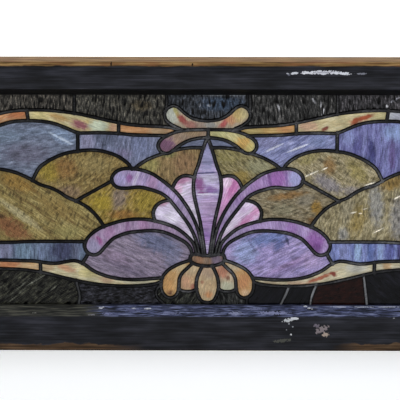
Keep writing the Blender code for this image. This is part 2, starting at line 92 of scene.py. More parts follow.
# Leads that the left side repeats as a mirror image
mirroredLeads = {
    "spearSide": [(0, 167), (4.7, 154.8), (9.2, 139.3), (12.6, 130), (14, 119), (13.2, 109), (10.1, 95), (7.3, 83),
                  (4.8, 67), (2.3, 49.2)],
    "innerPetal": [(13.3, 127.4), (19.8, 128.8), (25.8, 128), (31.2, 123.8), (35.3, 116.1)],
    "upperArm": [(4.6, 49.4), (6.6, 64), (10.9, 79), (17.3, 92.8), (26.8, 107), (35.5, 116.3), (45.8, 124.5),
                 (56, 131), (67.5, 134.7), (80, 136), (88.5, 134.2), (94, 129.8), (95.7, 124.8), (93.2, 119.3),
                 (88, 116.6), (80, 116.2), (68, 117.3), (57.8, 115.2), (47, 111.5), (39.1, 106), (29.9, 95),
                 (19.6, 81.2), (13.6, 70), (9.6, 58), (8, 49.8)],
    "outerPetal": [(37.4, 104.2), (43.5, 103.4), (50.3, 99.7), (54.3, 92), (52.6, 83.4)],
    "lowerArm": [(11, 50.4), (13.4, 59.6), (18.6, 66.7), (29.3, 75.4), (41.6, 80.7), (57.8, 84.7), (70, 85.4),
                 (82, 84.3), (94, 81.4), (106, 77), (114, 72.3), (120.3, 66), (123.2, 59), (120.6, 52.2),
                 (114.3, 49.4), (108.3, 51.4), (102, 58.3), (95.5, 65), (88, 69), (79, 71.8), (69.4, 73.1),
                 (56, 73.9), (44, 72.5), (32.5, 67.9), (22, 62), (16.8, 55.8), (15.4, 50)],
    "outerDrop": [(14.8, 41.4), (20, 36.3), (25, 31.6), (28, 26), (28.6, 20), (29, 14.5), (31.2, 9.4), (36, 6.5),
                  (41.3, 7.6), (45.2, 12.2), (46.6, 18.5), (46, 25), (43.3, 30), (39, 34.5), (33, 38.2),
                  (26, 41.4), (17.2, 44.3)],
    "innerDropFoot": [(11.2, 15.4), (15, 13.3), (20, 12.7), (25, 13.3), (29, 15.4)],
    "curlToSpear": [(4.3, 156.6), (15, 156.6), (25, 155.6), (34, 153.6)],
    "nearHill": [(43.4, 151.2), (51.4, 148.3), (58, 145.6), (64.5, 142), (69.5, 138.6), (72.8, 135.4)],
    "middleHill": [(75.6, 135.8), (80, 141.4), (88, 147.2), (97, 151), (107, 153.4), (118, 154.1), (129.5, 153),
                   (140, 151.2), (150, 147.7), (160, 142.5), (168.5, 135.6), (174.6, 124.2)],
    "middleHillFoot": [(95.6, 123.4), (131.6, 103.6)],
    "farHill": [(103.6, 78), (108, 84.8), (114, 91.8), (121, 97.9), (131, 103.2), (140, 107), (148, 112.2),
                (157, 116.6), (167, 119.6), (176, 124.6), (185, 129), (195, 132.6), (210, 135.4), (226, 135.6),
                (244, 132), (262, 124.2), (279, 112), (288.2, 101.4)],
    "waterLine": [(122.6, 62.9), (175, 62.8), (205, 61.8), (302, 61.8)],
    "lensFoot": [(45.6, 26.5), (56.5, 25.6), (68, 24.7), (80, 24.8), (92, 26), (104, 29), (114.5, 33.6),
                 (123, 39.6), (130, 42.9), (137, 43.4), (150, 41), (160, 41.2), (172, 42.9), (185, 43.5),
                 (220, 44.2), (260, 44.3), (285, 44.8), (296.5, 47.4), (300.5, 54), (299.6, 64), (295.5, 82),
                 (286, 106), (273, 128.5), (257, 147.5), (240, 161.8), (222, 172.4), (200, 180.8),
                 (185, 183.1), (165, 182.6), (151, 179.9), (139, 175.2), (132, 172.2), (126, 171), (110, 171.4),
                 (90, 170.8), (75, 169.4), (60, 168.9), (50, 168.7), (40, 168.4)],
    "lensEnd": [(119.6, 51.3), (122, 46.5), (125.5, 41.2)],
    "skyJoint": [(129.3, 171.4), (129.3, 153)],
    "upperRibbonJoint": [(88.5, 170.7), (88.5, 181.4)],
    "crestRibbonJoint": [(178.5, 183.2), (180, 193.8)],
    "lowerRibbonJoint": [(167.6, 42.3), (167.4, 32)],
    "ribbonTurn": [(299.9, 61.8), (311.8, 61.8)],
    "corner": [(311.8, 50), (355, 50)],
}

# Leads on the centre line or on one side only
singleLeads = {
    "dropTie": [(0, 1.5), (0, -9)],
    "curlJoint": [(0.8, 174.6), (0.8, 166.9)],
    "leftCurlRiser": [(-41.8, 192.5), (-40.5, 202), (-41.5, 219)],
    "rightCurlRiser": [(42.4, 192.5), (42.6, 202), (41.2, 219)],
    "leftTop": [(-132.5, 190.6), (-132.5, 219)],
    "rightTop": [(129.5, 190.1), (129.5, 219)],
    "leftFarTop": [(-236, 177.8), (-248, 219)],
    "rightFarTop": [(236, 177.8), (248, 219)],
    "leftRibbonTurn": [(-256, 148.4), (-264, 156)],
    "rightRibbonTurn": [(256, 148.4), (264, 156)],
    "leftDrop": [(-47, 20), (-51.2, 14), (-50.6, 7.5), (-44.5, 1), (-36, -9)],
    "rightDrop": [(39.5, 6.8), (39.8, -9)],
}

# Leads at the foot, given a paler grey; on the left sill lead the pale grey is a painted highlight
brightLeads = {
    "leftSill": [(-132, 24), (-129.6, 15), (-128.3, 8), (-129.2, 1), (-131.5, -9)],
    "rightSill": [(82, 18.3), (78.5, 9.5), (74, 0.5), (71, -9)],
    "redGlassNear": [(109.5, 19.6), (106.3, 12.5), (104.3, 6), (103.4, 0), (103.4, -9)],
    "redGlassFar": [(156.8, 29.3), (158, 20), (160, 3), (160.5, -9)],
}


def cartoonPoint(x, z):
    across = x * (sightRight - sightLeft) / cartoon["width"]
    return Vector((across, sightFoot + z * (sightHead - sightFoot) / cartoon["height"]))


# A smooth curve through the points, in a few steps from each to the next
def smoothLine(points, steps):
    ends = [points[0] * 2 - points[1]] + points + [points[-1] * 2 - points[-2]]
    curve = []
    for a, b, c, d in zip(ends, ends[1:], ends[2:], ends[3:]):
        for step in range(steps):
            t = step / steps
            bend = (2 * a - 5 * b + 4 * c - d) * t ** 2 + (3 * b - a - 3 * c + d) * t ** 3
            curve.append((2 * b + (c - a) * t + bend) / 2)
    return curve + [points[-1]]


def mirroredLine(line):
    return [Vector((-point.x, point.y)) for point in line]


def nearestPlace(point, lines):
    best = None
    for line in lines:
        for start, end in zip(line, line[1:]):
            span = end - start
            share = min(max((point - start).dot(span) / span.length_squared, 0), 1)
            place = start + span * share
            if best is None or (place - point).length < (best - point).length:
                best = place
    return best


def isLoop(line):
    return (line[0] - line[-1]).length < cartoon["loopGap"]


# All leads as smooth lines, their ends brought on to the leads that they meet
def leadLines(steps):
    def traced(leads):
        return [smoothLine([cartoonPoint(x, z) for x, z in points], steps) for points in leads.values()]

    across = [mirroredLine(half)[:0:-1] + half for half in traced(acrossLeads)]
    right = traced(mirroredLeads)
    dull = across + right + [mirroredLine(line) for line in right] + traced(singleLeads)
    bright = traced(brightLeads)
    joints = []
    for line in dull + bright:
        others = [other for other in dull + bright if other is not line]
        for end in (0, -1):
            place = nearestPlace(line[end], others)
            if (place - line[end]).length < cartoon["jointReach"] and not isLoop(line):
                line[end] = place
                joints.append(place)
    return dull, bright, joints


came = {"half": 0.0030, "heart": 0.0008, "crest": 0.00085, "lip": 0.00075, "depth": 0.003, "root": 0.0018,
        "wobble": 0.06, "waves": 40, "steps": 3}


# The H of a came in section, as a closed ring: across the lead and out of the panel
def cameSection():
    half, deep = came["half"], came["depth"]
    quarter = [(0.0, deep + came["crest"]), (0.3 * half, deep + 0.93 * came["crest"]),
               (0.58 * half, deep + 0.68 * came["crest"]), (0.8 * half, deep + 0.26 * came["crest"]),
               (0.93 * half, deep - 0.25 * came["lip"]), (half, deep - 0.7 * came["lip"]),
               (0.96 * half, deep - came["lip"]), (came["heart"], came["root"])]
    right = quarter + [(across, -out) for across, out in reversed(quarter)]
    return right + [(-across, out) for across, out in reversed(right[1:-1])]


# Leads swept along their lines: flat curves with the section as their bevel, turned up into the panel
def sweptCames(name, lines, seed):
    section = bpy.data.curves.new(name + "Section", "CURVE")
    section.dimensions = "2D"
    ring = section.splines.new("POLY")
    points = cameSection()
    ring.points.add(len(points) - 1)
    for point, (across, out) in zip(ring.points, points):
        point.co = (across, out, 0, 1)
    ring.use_cyclic_u = True
    sectionPiece = bpy.data.objects.new(name + "Section", section)
    scene.collection.objects.link(sectionPiece)
    curve = bpy.data.curves.new(name, "CURVE")
    curve.dimensions = "2D"
    curve.fill_mode = "NONE"
    curve.bevel_mode = "OBJECT"
    curve.bevel_object = sectionPiece
    curve.use_fill_caps = True
    for place, line in enumerate(lines):
        loop = isLoop(line)
        spline = curve.splines.new("POLY")
        spline.points.add(len(line) - 1 - loop)
        for point, spot in zip(spline.points, line):
            point.co = (spot.x, spot.y, 0, 1)
            wave = spot * came["waves"]
            point.radius = 1 + came["wobble"] * noise.noise(Vector((wave.x, wave.y, seed + place)))
        spline.use_cyclic_u = loop
    swept = bpy.data.objects.new(name, curve)
    scene.collection.objects.link(swept)
    bpy.context.view_layer.update()
    mesh = bpy.data.meshes.new_from_object(swept.evaluated_get(bpy.context.evaluated_depsgraph_get()))
    bpy.data.objects.remove(swept)
    bpy.data.objects.remove(sectionPiece)
    mesh.transform(Matrix.Translation((0, panelMiddle, 0)) @ Matrix.Rotation(radians(90), 4, "X"))
    body = bmesh.new()
    body.from_mesh(mesh)
    bmesh.ops.remove_doubles(body, verts=body.verts, dist=touching["lead"])
    bmesh.ops.recalc_face_normals(body, faces=body.faces)
    return body


solder = {"reach": 0.0036, "rise": 0.0012, "spread": 0.25, "rough": 0.16, "proud": 0.0001}


# A flattened, uneven drop of solder on both faces of the panel at each joint
def addSolder(body, place, seed):
    for side in (-1, 1):
        drop = bmesh.ops.create_icosphere(body, subdivisions=2, radius=1)["verts"]
        wide = solder["reach"] * (1 + solder["spread"] * noise.noise(Vector((seed * 1.7, side, 3))))
        tall = solder["reach"] * (1 + solder["spread"] * noise.noise(Vector((seed * 2.3, side, 9))))
        for vert in drop:
            rough = 1 + solder["rough"] * noise.noise(vert.co * 1.7 + Vector((seed, side, 0)))
            vert.co = Vector((vert.co.x * wide * rough, vert.co.y * solder["rise"] * rough, vert.co.z * tall * rough))
        out = came["depth"] + solder["proud"]
        bmesh.ops.translate(body, vec=(place.x, panelMiddle + side * out, place.y), verts=drop)


def finishedPiece(name, body, material, nodes, slotName, angle=radians(40)):
    mesh = bpy.data.meshes.new(name)
    body.to_mesh(mesh)
    body.free()
    piece = bpy.data.objects.new(name, mesh)
    scene.collection.objects.link(piece)
    mesh.materials.append(material)
    mesh.shade_smooth()
    mesh.set_sharp_from_angle(angle=angle)
    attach(piece, "root")
    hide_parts(*nodes)
    return piece


# Colours are written as on screen and turned into light
def lightOf(text):
    parts = [int(text[place:place + 2], 16) / 255 for place in (0, 2, 4)]
    return [part / 12.92 if part <= 0.04045 else ((part + 0.055) / 1.055) ** 2.4 for part in parts] + [1]


def newFinish(name, roughness, specular=0.5):
    material = bpy.data.materials.new(name)
    material.use_nodes = True
    shader = material.node_tree.nodes["Principled BSDF"]
    shader.inputs["Roughness"].default_value = roughness
    shader.inputs["Specular IOR Level"].default_value = specular
    coords = material.node_tree.nodes.new("ShaderNodeTexCoord")
    coords.name = "coords"
    return material, material.node_tree, shader


def axesOf(tree):
    axes = tree.nodes.new("ShaderNodeSeparateXYZ")
    tree.links.new(tree.nodes["coords"].outputs["Object"], axes.inputs[0])
    return [axes.outputs[letter] for letter in "XYZ"]


# The surface's own coordinates, centred at a place, turned in the panel's plane and measured in lengths
def placed(tree, size, angle=0, at=(0, 0)):
    mapping = tree.nodes.new("ShaderNodeMapping")
    mapping.vector_type = "TEXTURE"
    mapping.inputs["Location"].default_value = (at[0], 0, at[1])
    mapping.inputs["Rotation"].default_value = (0, -radians(angle), 0)
    mapping.inputs["Scale"].default_value = (size[0], size[2] if len(size) > 2 else size[1], size[1])
    tree.links.new(tree.nodes["coords"].outputs["Object"], mapping.inputs["Vector"])
    return mapping.outputs["Vector"]


def grain(tree, size, angle=0, at=(0, 0), detail=3, roughness=0.55, warp=0.0):
    texture = tree.nodes.new("ShaderNodeTexNoise")
    texture.inputs["Scale"].default_value = 1
    texture.inputs["Detail"].default_value = detail
    texture.inputs["Roughness"].default_value = roughness
    texture.inputs["Distortion"].default_value = warp
    tree.links.new(placed(tree, size, angle, at), texture.inputs["Vector"])
    return texture.outputs["Fac"]


def ranged(tree, value, low, high, toLow=0.0, toHigh=1.0):
    node = tree.nodes.new("ShaderNodeMapRange")
    tree.links.new(value, node.inputs["Value"])
    for name, number in (("From Min", low), ("From Max", high), ("To Min", toLow), ("To Max", toHigh)):
        node.inputs[name].default_value = number
    return node.outputs["Result"]


def combined(tree, operation, first, second, third=None):
    node = tree.nodes.new("ShaderNodeMath")
    node.operation = operation
    for place, value in enumerate((first, second, third)):
        if isinstance(value, (int, float)):
            node.inputs[place].default_value = value
        elif value is not None:
            tree.links.new(value, node.inputs[place])
    return node.outputs[0]


def blended(tree, share, first, second, way="MIX"):
    node = tree.nodes.new("ShaderNodeMix")
    node.data_type = "RGBA"
    node.blend_type = way
    for socket, value in ((node.inputs[0], share), (node.inputs[6], first), (node.inputs[7], second)):
        if isinstance(value, str):
            socket.default_value = lightOf(value)
        elif isinstance(value, (int, float)):
            socket.default_value = value
        else:
            tree.links.new(value, socket)
    return node.outputs[2]


def toned(tree, value, tones, low=0.32, high=0.68):
    node = tree.nodes.new("ShaderNodeValToRGB")
    tree.links.new(value, node.inputs["Fac"])
    ramp = node.color_ramp
    names = tones.split()
    for place, name in enumerate(names):
        where = low + (high - low) * place / max(len(names) - 1, 1)
        element = ramp.elements[place] if place < 2 else ramp.elements.new(where)
        element.position = where
        element.color = lightOf(name)
    return node.outputs["Color"]


# How far a place is inside an uneven patch, from 0 at its edge to the strength at its middle
def patch(tree, at, size, strength=1.0, angle=0, rough=0.5, fine=0.004, soft=0.5):
    ball = tree.nodes.new("ShaderNodeTexGradient")
    ball.gradient_type = "SPHERICAL"
    tree.links.new(placed(tree, (size[0], size[1], 1), angle, at), ball.inputs["Vector"])
    edge = ranged(tree, grain(tree, (fine, fine), detail=2), 0.3, 0.7, -rough, rough)
    inside = ranged(tree, ball.outputs["Fac"], 0, 0.3)
    value = combined(tree, "MULTIPLY_ADD", edge, inside, ball.outputs["Fac"])
    return ranged(tree, value, 0.35 - soft / 2, 0.35 + soft / 2, 0, strength)


def bumped(tree, shader, heights):
    node = tree.nodes.new("ShaderNodeBump")
    node.inputs["Strength"].default_value = 1.0
    node.inputs["Distance"].default_value = 1.0
    tree.links.new(heights, node.inputs["Height"])
    tree.links.new(node.outputs["Normal"], shader.inputs["Normal"])


# Depths where the lead turns from its near-black edge (cement, dirt and painted shade) to its grey back, and how much
# darker the left side is
leadWearAndShade = {"dark": 0.00075, "bare": 0.00102, "stray": 0.0005, "dirty": -0.13, "clean": -0.05, "dirt": 0.35}


# Old lead: near black along its edges, where cement and dirt lie and where painted shade stands for the shadow between
# came and glass, and greyer on its rounded back
def leadFinish(name, back, edge):
    material, tree, shader = newFinish(name, 0.5, specular=0.06)
    x, y = axesOf(tree)[:2]
    out = combined(tree, "ABSOLUTE", combined(tree, "SUBTRACT", y, panelMiddle), 0)
    crestHeight = combined(tree, "MULTIPLY_ADD", grain(tree, (0.004, 0.004), detail=2), leadWearAndShade["stray"], out)
    # Below the crest the lead takes the near-black edge colour: cement and dirt, and painted shade
    bare = ranged(tree, crestHeight, came["depth"] + leadWearAndShade["dark"], came["depth"] + leadWearAndShade["bare"])
    worked = combined(tree, "MULTIPLY", grain(tree, (0.05, 0.05), detail=2), 0.6)
    streak = toned(tree, combined(tree, "MULTIPLY_ADD", grain(tree, (0.006, 0.0016), 20, detail=4), 0.4, worked), back)
    # The left side was cleaned less than the middle
    cleaned = ranged(tree, x, leadWearAndShade["dirty"], leadWearAndShade["clean"], leadWearAndShade["dirt"], 1.0)
    streak = blended(tree, 1.0, streak, cleaned, "MULTIPLY")
    tree.links.new(blended(tree, bare, edge, streak), shader.inputs["Base Color"])
    dull = ranged(tree, grain(tree, (0.003, 0.003), detail=2), 0.35, 0.65, 0.4, 0.62)
    tree.links.new(dull, shader.inputs["Roughness"])
    bumped(tree, shader, combined(tree, "MULTIPLY", grain(tree, (0.0012, 0.0012), detail=3), 0.00012))
    return material


dullLines, brightLines, joints = leadLines(came["steps"])
dullBody = sweptCames("leadCames", dullLines, 1)
brightBody = sweptCames("brightCames", brightLines, 2)
for place, point in enumerate(joints):
    addSolder(dullBody, point, place + 1)
edgeLeft, edgeRight = panelLow.x + came["half"], panelHigh.x - came["half"]
edgeFoot, edgeHead = panelLow.z + came["half"], panelHigh.z - came["half"]
edgeLine = [Vector(corner) for corner in ((edgeLeft, edgeFoot), (edgeRight, edgeFoot), (edgeRight, edgeHead),
                                          (edgeLeft, edgeHead))]
edgeBody = sweptCames("edgeCame", [edgeLine + [edgeLine[0]]], 3)
finishedPiece("leadCames", dullBody, leadFinish("oldLead", "141415 303032 6a6a6c", "010101"), ["lead_cames"], "lead")
# The paler lead of the foot leads; on the left sill lead it is a painted highlight
finishedPiece("brightCames", brightBody, leadFinish("brightLead", "4e4f51 6c6d70 8c8d90", "060607"), ["lead_cames"],
              "lead")
finishedPiece("edgeCame", edgeBody, leadFinish("edgeLead", "141415 303032", "010101"), ["lead_cames"], "lead")
print("leads swept,", len(joints), "joints soldered")

# Each kind of relief: its height, a wave's size along and across, how much of it is sharp ridges, the height of
# its fine grain, the mesh's cell, the painted shade of its hollows and painted highlight of its crests, and the height
# of its bumps
reliefs = {
    "calm": {"height": 0.00022, "size": (0.016, 0.024), "ridge": 0.0, "fine": 0.00008, "cell": (0.0024, 0.0024),
             "shade": (0.84, 1.1), "bump": 0.00006},
    "draped": {"height": 0.00034, "size": (0.030, 0.0065), "ridge": 0.3, "fine": 0.00008, "cell": (0.0024, 0.0018),
               "shade": (0.8, 1.12), "bump": 0.00006},
    "wavy": {"height": 0.00080, "size": (0.014, 0.0033), "ridge": 0.6, "fine": 0.00014, "cell": (0.0014, 0.0020),
             "shade": (0.12, 2.2), "contrast": 2.6, "bump": 0.00016},
    "hatched": {"height": 0.00046, "size": (0.0095, 0.0027), "ridge": 0.4, "fine": 0.00012, "cell": (0.0017, 0.0017),
                "shade": (0.48, 1.50), "warp": 1.5, "bump": 0.00016},
    "streaky": {"height": 0.00034, "size": (0.018, 0.0036), "ridge": 0.3, "fine": 0.00010, "cell": (0.0022, 0.0020),
                "shade": (0.60, 1.28), "bump": 0.00006},
}
glassSheet = {"thickness": 0.003, "gap": 0.0003, "edge": 0.0033, "steps": 2, "level": 0.002, "patchUnit": 0.0021,
              "coarser": 1.0}
rolled = {"sway": 0.35, "swayEvery": 0.03, "fineEvery": 0.004, "most": 0.0006, "ridgeTop": 0.6, "shadeGain": 0.8}

# Each kind of glass: its usual relief, then its saturation and value, dulled by age
glassKinds = {
    "amber_glass": ("hatched", 0.96, 0.92), "blue_glass": ("streaky", 0.82, 0.86),
    "mauve_glass": ("streaky", 0.84, 0.97), "cream_glass": ("calm", 0.9, 0.95),
    "pink_glass": ("calm", 0.84, 0.96), "lavender_glass": ("calm", 0.9, 0.95),
    "dark_glass": ("wavy", 0.9, 0.88), "dark_red_glass": ("calm", 0.95, 0.6),
}

# The panes: a place inside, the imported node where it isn't the pane's own name, the slot, the relief where it isn't
# the usual one, the streaks' angle and size, the ripple's angle where it differs, and the tones, then stronger
# patches as x, z, reach across, reach up, colour, strength and angle
glassPanes = {
    "spear": dict(
        at=(0, 110), slot="lavender_glass", relief="draped", angle=2, streak=(0.05, 0.008),
        tones="8a7fb0 ab97c8 c6b8de a383bf", patches=[
            (0, 152, 9, 26, "8d8fba", .85), (3, 126, 12, 6, "cac3de", .8), (-8, 120, 5.5, 9, "8c4a8c", .9, 15),
            (3, 115, 7, 4, "80549a", .85, -10), (-1, 131.6, 14, 1.0, "55507e", 1, 3),
            (0, 110.2, 14, 1.2, "ded8ec", .9), (-6, 111.8, 6, 0.9, "8c4a8c", .9), (2, 98, 12, 12, "b898c6", .7),
            (0, 82, 9, 10, "a67cb8", .7), (0, 68, 6, 8, "8a5aa8", .7)]),
    "leftInnerPetal": dict(
        at=(-22, 115), slot="pink_glass", angle=15, streak=(0.03, 0.008), tones="d0b8e0 dfd0ec ece2f5", patches=[
            (-24, 124.5, 14, 5, "a85a8c", .85, 15), (-16, 112, 8, 16, "cdb4dd", .5), (-29, 115, 5, 6, "d99bc4", .7)]),
    "rightInnerPetal": dict(
        at=(22, 115), slot="pink_glass", angle=70, streak=(0.03, 0.006), tones="c98acb daa8dc e7c8ec", patches=[
            (26, 118, 6, 16, "c84fa8", .8, -25), (18, 100, 5, 12, "d784c8", .7, -20), (19, 122, 6, 6, "efd5ec", .7)]),
    "leftUpperArm": dict(
        at=(-60, 124), slot="lavender_glass", angle=70, streak=(0.02, 0.005), tones="9182ae ab95c6 c3b0d6", patches=[
            (-78.5, 126, 4, 5, "8d4a92", .8), (-88, 124, 8, 10, "9a94c4", .7), (-72, 124, 2, 12, "dcd2ec", .7, -20),
            (-55, 121, 6, 10, "b487b4", .7), (-22, 88, 12, 14, "9c88a8", .6), (-10, 62, 6, 16, "85758f", .6)]),
    "rightUpperArm": dict(
        at=(60, 124), slot="lavender_glass", angle=108, streak=(0.02, 0.0045), tones="8a6ba4 a787c0 c0a5d6", patches=[
            (70, 126, 10, 12, "9a5cae", .9), (62, 125, 2, 12, "6d3f86", .8, 10), (89, 126, 9, 12, "a7a6dc", 1),
            (79, 126, 1.5, 12, "6d4a92", .7, 5), (50, 119, 7, 9, "a678bd", .6), (24, 88, 12, 16, "a594bd", .6)]),
    "leftOuterPetal": dict(
        at=(-42, 92), slot="pink_glass", angle=-25, streak=(0.03, 0.009), tones="cdbde0 ddd0ee eae2f6", patches=[
            (-46, 101, 9, 3.5, "c084a4", .8, 15), (-24, 76, 9, 9, "bda6c8", .6)]),
    "rightOuterPetal": dict(
        at=(42, 92), slot="pink_glass", angle=38, streak=(0.03, 0.006), tones="d3b2e0 e3cdee ede0f6", patches=[
            (42, 88, 18, 3.2, "c868b0", .7, 38), (49, 93, 5, 7, "dd92c8", .7), (38, 82, 12, 2.6, "d274b6", .8, 30),
            (30, 72, 9, 9, "c9a9cf", .5)]),
    "leftLowerArm": dict(
        at=(-60, 79), slot="lavender_glass", angle=84, streak=(0.016, 0.0045), tones="8d7596 a58ab0 bb9fc4", patches=[
            (-108.5, 62.5, 3.4, 6, "962c80", .95, 20), (-114, 57, 9, 9, "9c98bc", .8), (-98, 72, 6, 9, "9a6496", .5),
            (-80, 77, 2.5, 10, "86508a", .6), (-64, 79, 6, 8, "a870a2", .5), (-24, 66, 14, 12, "8d7b99", .7)]),
    "rightLowerArm": dict(
        at=(60, 79), slot="lavender_glass", angle=98, streak=(0.016, 0.0045), tones="8f75ad a78ac4 bda4d6", patches=[
            (108, 64, 11, 11, "8e52a4", .9), (110, 57, 5, 6, "6a3380", .8), (84, 76, 7, 9, "9161ac", .7),
            (60, 79, 8, 9, "b39cd0", .5), (26, 67, 14, 12, "9d90b6", .7)]),
    "leftInnerDrop": dict(
        at=(-19, 25), slot="cream_glass", angle=70, streak=(0.02, 0.007), tones="b28c62 c29e72 ceb28a", patches=[
            (-15, 36, 8, 7, "cdb58c", .8), (-13.5, 17, 4, 5, "9a5040", .8), (-22, 22, 6, 9, "c28c6c", .6)]),
    "rightInnerDrop": dict(
        at=(19, 25), slot="cream_glass", angle=80, streak=(0.02, 0.007), tones="b7a184 c9b796 d3c6a8", patches=[
            (15, 33, 9, 8, "ae6648", .85), (20.5, 26, 3, 3, "74402c", .8), (19, 17, 9, 6, "bfc2a6", .8)]),
    "leftOuterDrop": dict(
        at=(-37, 22), slot="cream_glass", angle=60, streak=(0.02, 0.007), tones="b98a4c c99c5c d2ae76", patches=[
            (-27, 37, 10, 6, "c9b183", .9), (-37.5, 11.5, 3.5, 3.5, "6f3f26", .9), (-40, 20, 6, 9, "c8914a", .7)]),
    "rightOuterDrop": dict(
        at=(37, 22), slot="cream_glass", angle=110, streak=(0.02, 0.007), tones="b9874e c99a5a d2ae7a", patches=[
            (25, 38, 10, 6, "bfae90", .9), (36, 22, 7, 9, "c9824a", .7), (39, 11, 6, 4, "d5b088", .8)]),
    "middleDrop": dict(
        at=(0, 20), slot="cream_glass", angle=80, streak=(0.02, 0.008), tones="b89a72 c6aa7e d0bb96", patches=[
            (0, 33, 10, 8, "bfa186", .8), (-5, 22, 2.2, 2.2, "9c5a44", .7), (3, 19, 1.8, 1.4, "8a5a3c", .7),
            (1, 10, 5, 4, "cf8a4a", .9), (2, 17, 7, 7, "cfae80", .6)]),
    "collar": dict(
        at=(0, 44), slot="cream_glass", angle=80, streak=(0.014, 0.006), tones="6d5648 86684e 94755a", patches=[
            (-8, 44, 4, 9, "93694a", .8), (10, 44, 7, 9, "74657d", .9), (-1, 44, 3, 9, "85705e", .6)]),
    "upperCurl": dict(
        at=(0, 179), slot="cream_glass", angle=85, streak=(0.016, 0.007), tones="a5917c b7a58c c4b69c", patches=[
            (-36, 189, 9, 11, "b9bdb0", 1), (-30.5, 191, 2.4, 10, "b7ad55", .8, 25),
            (-24.5, 184, 9, 3.6, "96403a", 1, -48), (-15, 179, 9, 4, "a8695e", .9, -10),
            (-6, 179, 7, 5, "a08a7c", .8), (3, 178.5, 7, 4, "9c9a94", 1), (17.5, 181.5, 9, 3.4, "ab4a48", 1, 45),
            (24, 185, 6, 7, "c58a5c", .9), (31, 190, 7, 9, "c6ab62", .9), (37, 190, 5, 6, "cdbd84", .8)]),
    "leftLowerCurl": dict(
        at=(-30, 167), slot="cream_glass", angle=60, streak=(0.016, 0.006), tones="8a6f62 9c8570 a9947c", patches=[
            (-41, 159, 11, 10, "7b5470", 1), (-30, 165, 4, 6, "a1846c", .8), (-14, 171, 10, 4, "937a58", .8)]),
    "rightLowerCurl": dict(
        at=(30, 167), slot="cream_glass", angle=-50, streak=(0.02, 0.006), tones="b8ad6c c6bc80 cfc793", patches=[
            (36, 161, 9, 8, "cba047", .95), (42, 157, 4, 5, "c8b765", .8), (12, 171, 8, 4, "b9b67c", .7)]),
    "leftSmallSky": dict(
        at=(-12, 160.5), slot="blue_glass", relief="calm", angle=10, streak=(0.02, 0.006),
        tones="59617f 6f7898 858db2"),
    "rightSmallSky": dict(
        at=(12, 160.5), slot="blue_glass", relief="calm", angle=-10, streak=(0.02, 0.006),
        tones="545d7c 6a7496 8089b0"),
    "leftLens": dict(
        at=(-70, 45), slot="mauve_glass", angle=-22, streak=(0.035, 0.0055), tones="6a6076 84768f 9a8ba2", patches=[
            (-50, 62, 26, 11, "5c6489", .85, -20), (-35, 48, 10, 14, "6c6f90", .7),
            (-95, 48, 22, 8, "8f7896", .6, -25), (-80, 35, 24, 5, "665a74", .7, -22),
            (-52, 58, 1.4, 11, "4a5070", .5, -10), (-44, 60, 1.2, 9, "4a5070", .45, -12),
            (-59, 61, 1.2, 9, "4e5472", .45, -6), (-38, 56, 1.2, 8, "50567a", .4, -16)]),
    "rightLens": dict(
        at=(70, 45), slot="mauve_glass", angle=26, streak=(0.035, 0.006), tones="7d72ae 9585c0 ac99cf", patches=[
            (60, 66, 26, 8, "5c6fae", .95, 10), (38, 52, 14, 14, "8593c6", .9, 40), (72, 60, 8, 5, "4c5c9e", .8, 50),
            (85, 40, 34, 5, "9c7cb6", .8, 26), (74, 32, 24, 3.5, "7f6fa8", .7, 22), (104, 44, 12, 10, "ab93c6", .8),
            (44, 60, 1.4, 10, "4a5488", .5, 30), (52, 58, 1.3, 9, "55609a", .45, 28),
            (80, 64, 1.6, 6, "2c3460", .8, 20), (92, 41, 18, 1.4, "76609a", .8, 30)]),
    "leftNearHill": dict(
        at=(-35, 135), slot="amber_glass", angle=86, ripple=88, streak=(0.03, 0.005), tones="6a5636 86704a 9c875e",
        patches=[
            (-22, 140, 14, 14, "86684a", .8), (-58, 138, 12, 9, "8f8850", .8, 30), (-40, 150, 10, 4, "7d8050", .6)]),
    "rightNearHill": dict(
        at=(35, 135), slot="amber_glass", angle=-40, ripple=-42, streak=(0.016, 0.005), tones="655c3c 82784f a1987a",
        patches=[
            (20, 148, 12, 8, "857c48", .6), (52, 138, 14, 9, "8b8a6e", .7), (34, 126, 10, 9, "8a7434", .7)]),
    "leftMiddleHill": dict(
        at=(-125, 130), slot="amber_glass", angle=35, ripple=80, streak=(0.018, 0.006), tones="59492a 7c6839 9c8a58",
        patches=[
            (-158, 133, 12, 12, "8f7c26", .8), (-142, 136, 12, 12, "7f5a2c", .7), (-112, 140, 18, 10, "87784c", .6),
            (-138, 112, 14, 8, "7a6258", .5)]),
    "rightMiddleHill": dict(
        at=(125, 130), slot="amber_glass", angle=-35, ripple=62, streak=(0.018, 0.006), tones="6f6546 928666 b2a88a",
        patches=[
            (120, 121, 18, 8, "7f7b86", .75, -30), (122, 139, 7, 10, "806034", .8),
            (150, 133, 16, 8, "93864c", .7, -50), (146, 112, 12, 7, "85808a", .6, -20),
            # The last three patches, thin and near white, are painted glints
            (100, 146, 12, 6, "8d8350", .7, 20), (103.5, 130.6, 8, 0.9, "fbf3e0", 1, 25),
            (117, 135.8, 3.5, 0.8, "fbf3e0", 1, 25), (162, 120.6, 6, 1.0, "fbf3e0", 1, 20)]),
    "leftLowHill": dict(
        at=(-80, 100), slot="amber_glass", angle=60, ripple=50, streak=(0.022, 0.007), tones="6b5722 8c7530 a5905a",
        patches=[
            (-88, 106, 9, 14, "7d6e68", .8, -15), (-106, 102, 12, 12, "96821f", .8), (-62, 103, 12, 12, "8c7a24", .7),
            (-84, 90, 16, 5, "865a28", .7)]),
    "rightLowHill": dict(
        at=(80, 100), slot="amber_glass", angle=-10, ripple=20, streak=(0.016, 0.006), tones="615640 7e7258 9a9078",
        patches=[
            (80, 109, 20, 4, "85602e", .8, 10), (109, 97, 6, 8, "8f6c1e", .8), (98, 104, 10, 6, "7c7668", .7, 20),
